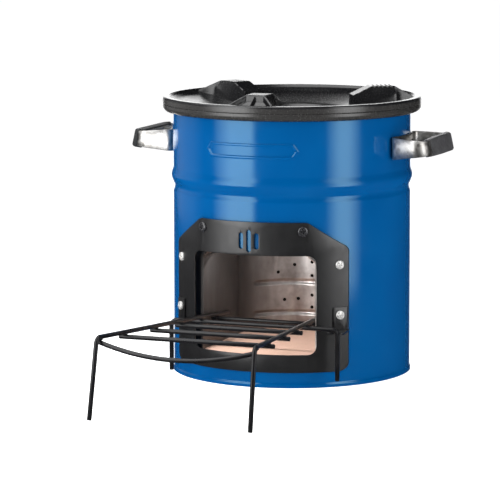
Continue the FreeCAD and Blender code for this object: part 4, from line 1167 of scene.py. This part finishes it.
def make_chute():
    """Sheet duct from the frame to the riser with a flange turned out at the front."""
    bend, front, bend_steps, inner, overlap = 2.0, 112.0, 4, RISER - 0.4, 8.0

    def section(grow):
        """Duct outline grown by an amount, always with the same number of points."""
        half, top, corner = CHUTE_HALF + grow, CHUTE_TOP + grow, CHUTE_CORNER + grow * 0.4
        points = [(-half, CHUTE_LOW), (-half, top - corner), (corner - half, top), (half - corner, top),
                  (half, top - corner), (half, CHUTE_LOW)]
        row = []
        for (x0, z0), (x1, z1), count in zip(points, points[1:], (8, 4, 24, 4, 8)):
            row += [(x0 + (x1 - x0) * step / count, z0 + (z1 - z0) * step / count) for step in range(count)]
        return row + [points[-1]]

    def wall(x, radius):
        return -sqrt(radius ** 2 - x ** 2)

    rows = [[(x, wall(x, front), z) for x, z in section(grow)] for grow in (10.0, 6.0, bend + 0.6)]
    for step in range(bend_steps + 1):
        turn = pi / 2 * step / bend_steps
        back = bend * (1 - cos(turn))
        rows.append([(x, wall(x, front) + back, z) for x, z in section(bend * (1 - sin(turn)))])
    for share in spread(0.1, 1.001, 0.1):
        row = []
        for x, z in section(0.0):
            start = wall(x, front) + bend
            end = overlap if abs(x) > CHUTE_HALF - 0.01 else wall(x, inner)
            row.append((x, start + (end - start) * share, z))
        rows.append(row)
    bm = bmesh.new()
    grid(bm, rows)
    piece("fuel_duct", bm, "chamber_steel", ["fuel_chute"], thickness=1.0, sharp=40)


def make_tile():
    """Fired clay floor slab with worn edges and small chips."""
    low, high = box("ceramic_tile")
    half, front = high.x, -low.y
    outline = [(half * cos(turn), half * sin(turn))
               for turn in spread(0, pi, pi / 24) + [pi]]
    edge = asin(half / front)
    outline += [(front * sin(turn), -front * cos(turn)) for turn in spread(-edge, edge, edge / 14)]
    outline.append((half, -front * cos(edge)))
    cell, worn_to, edge_width, lowest_chip, chip = 3.0, -60, 3, 0.5, 1.1
    bm = bmesh.new()
    plate(bm, outline, cell=cell)
    cut_across(bm, UP, spread(-front, half, cell)[1:])
    for vert in bm.verts:
        x, through, y = vert.co
        place = Vector((x, y, 40 * through))
        worn = noise.noise(place * 0.35) * 0.35 + noise.noise(place * 0.11) * 0.4
        level = (high.z - 0.4 + worn * 0.6) if through < 0.5 else low.z
        near = smooth((hypot(x, y) - front + edge_width) / edge_width) if y < worn_to else 0.0
        pull = near * (lowest_chip + chip * max(0.0, noise.noise(place * 0.22 + Vector((7, 0, 0)))))
        vert.co = (x, y + pull, min(level, high.z))
    piece("floor_slab", bm, "ceramic", ["ceramic_tile"], bevel=0.9, sharp=60)


# ---- scene

bpy.context.scene.view_settings.view_transform = "Standard"
paint_cad_nodes()
make_can()
make_base()
make_collar()
make_cast_top()
make_frame()
make_bracket(1, "bracket_right")
make_bracket(-1, "bracket_left")
make_screws()
make_rivets()
for sign, label in ((-1, "left"), (1, "right")):
    make_strap(sign, "handle_strap_" + label)
    make_grip(sign, "grip_" + label)
make_support()
make_riser()
make_chute()
make_tile()
make_world()
make_lights()
make_floor()
make_camera()
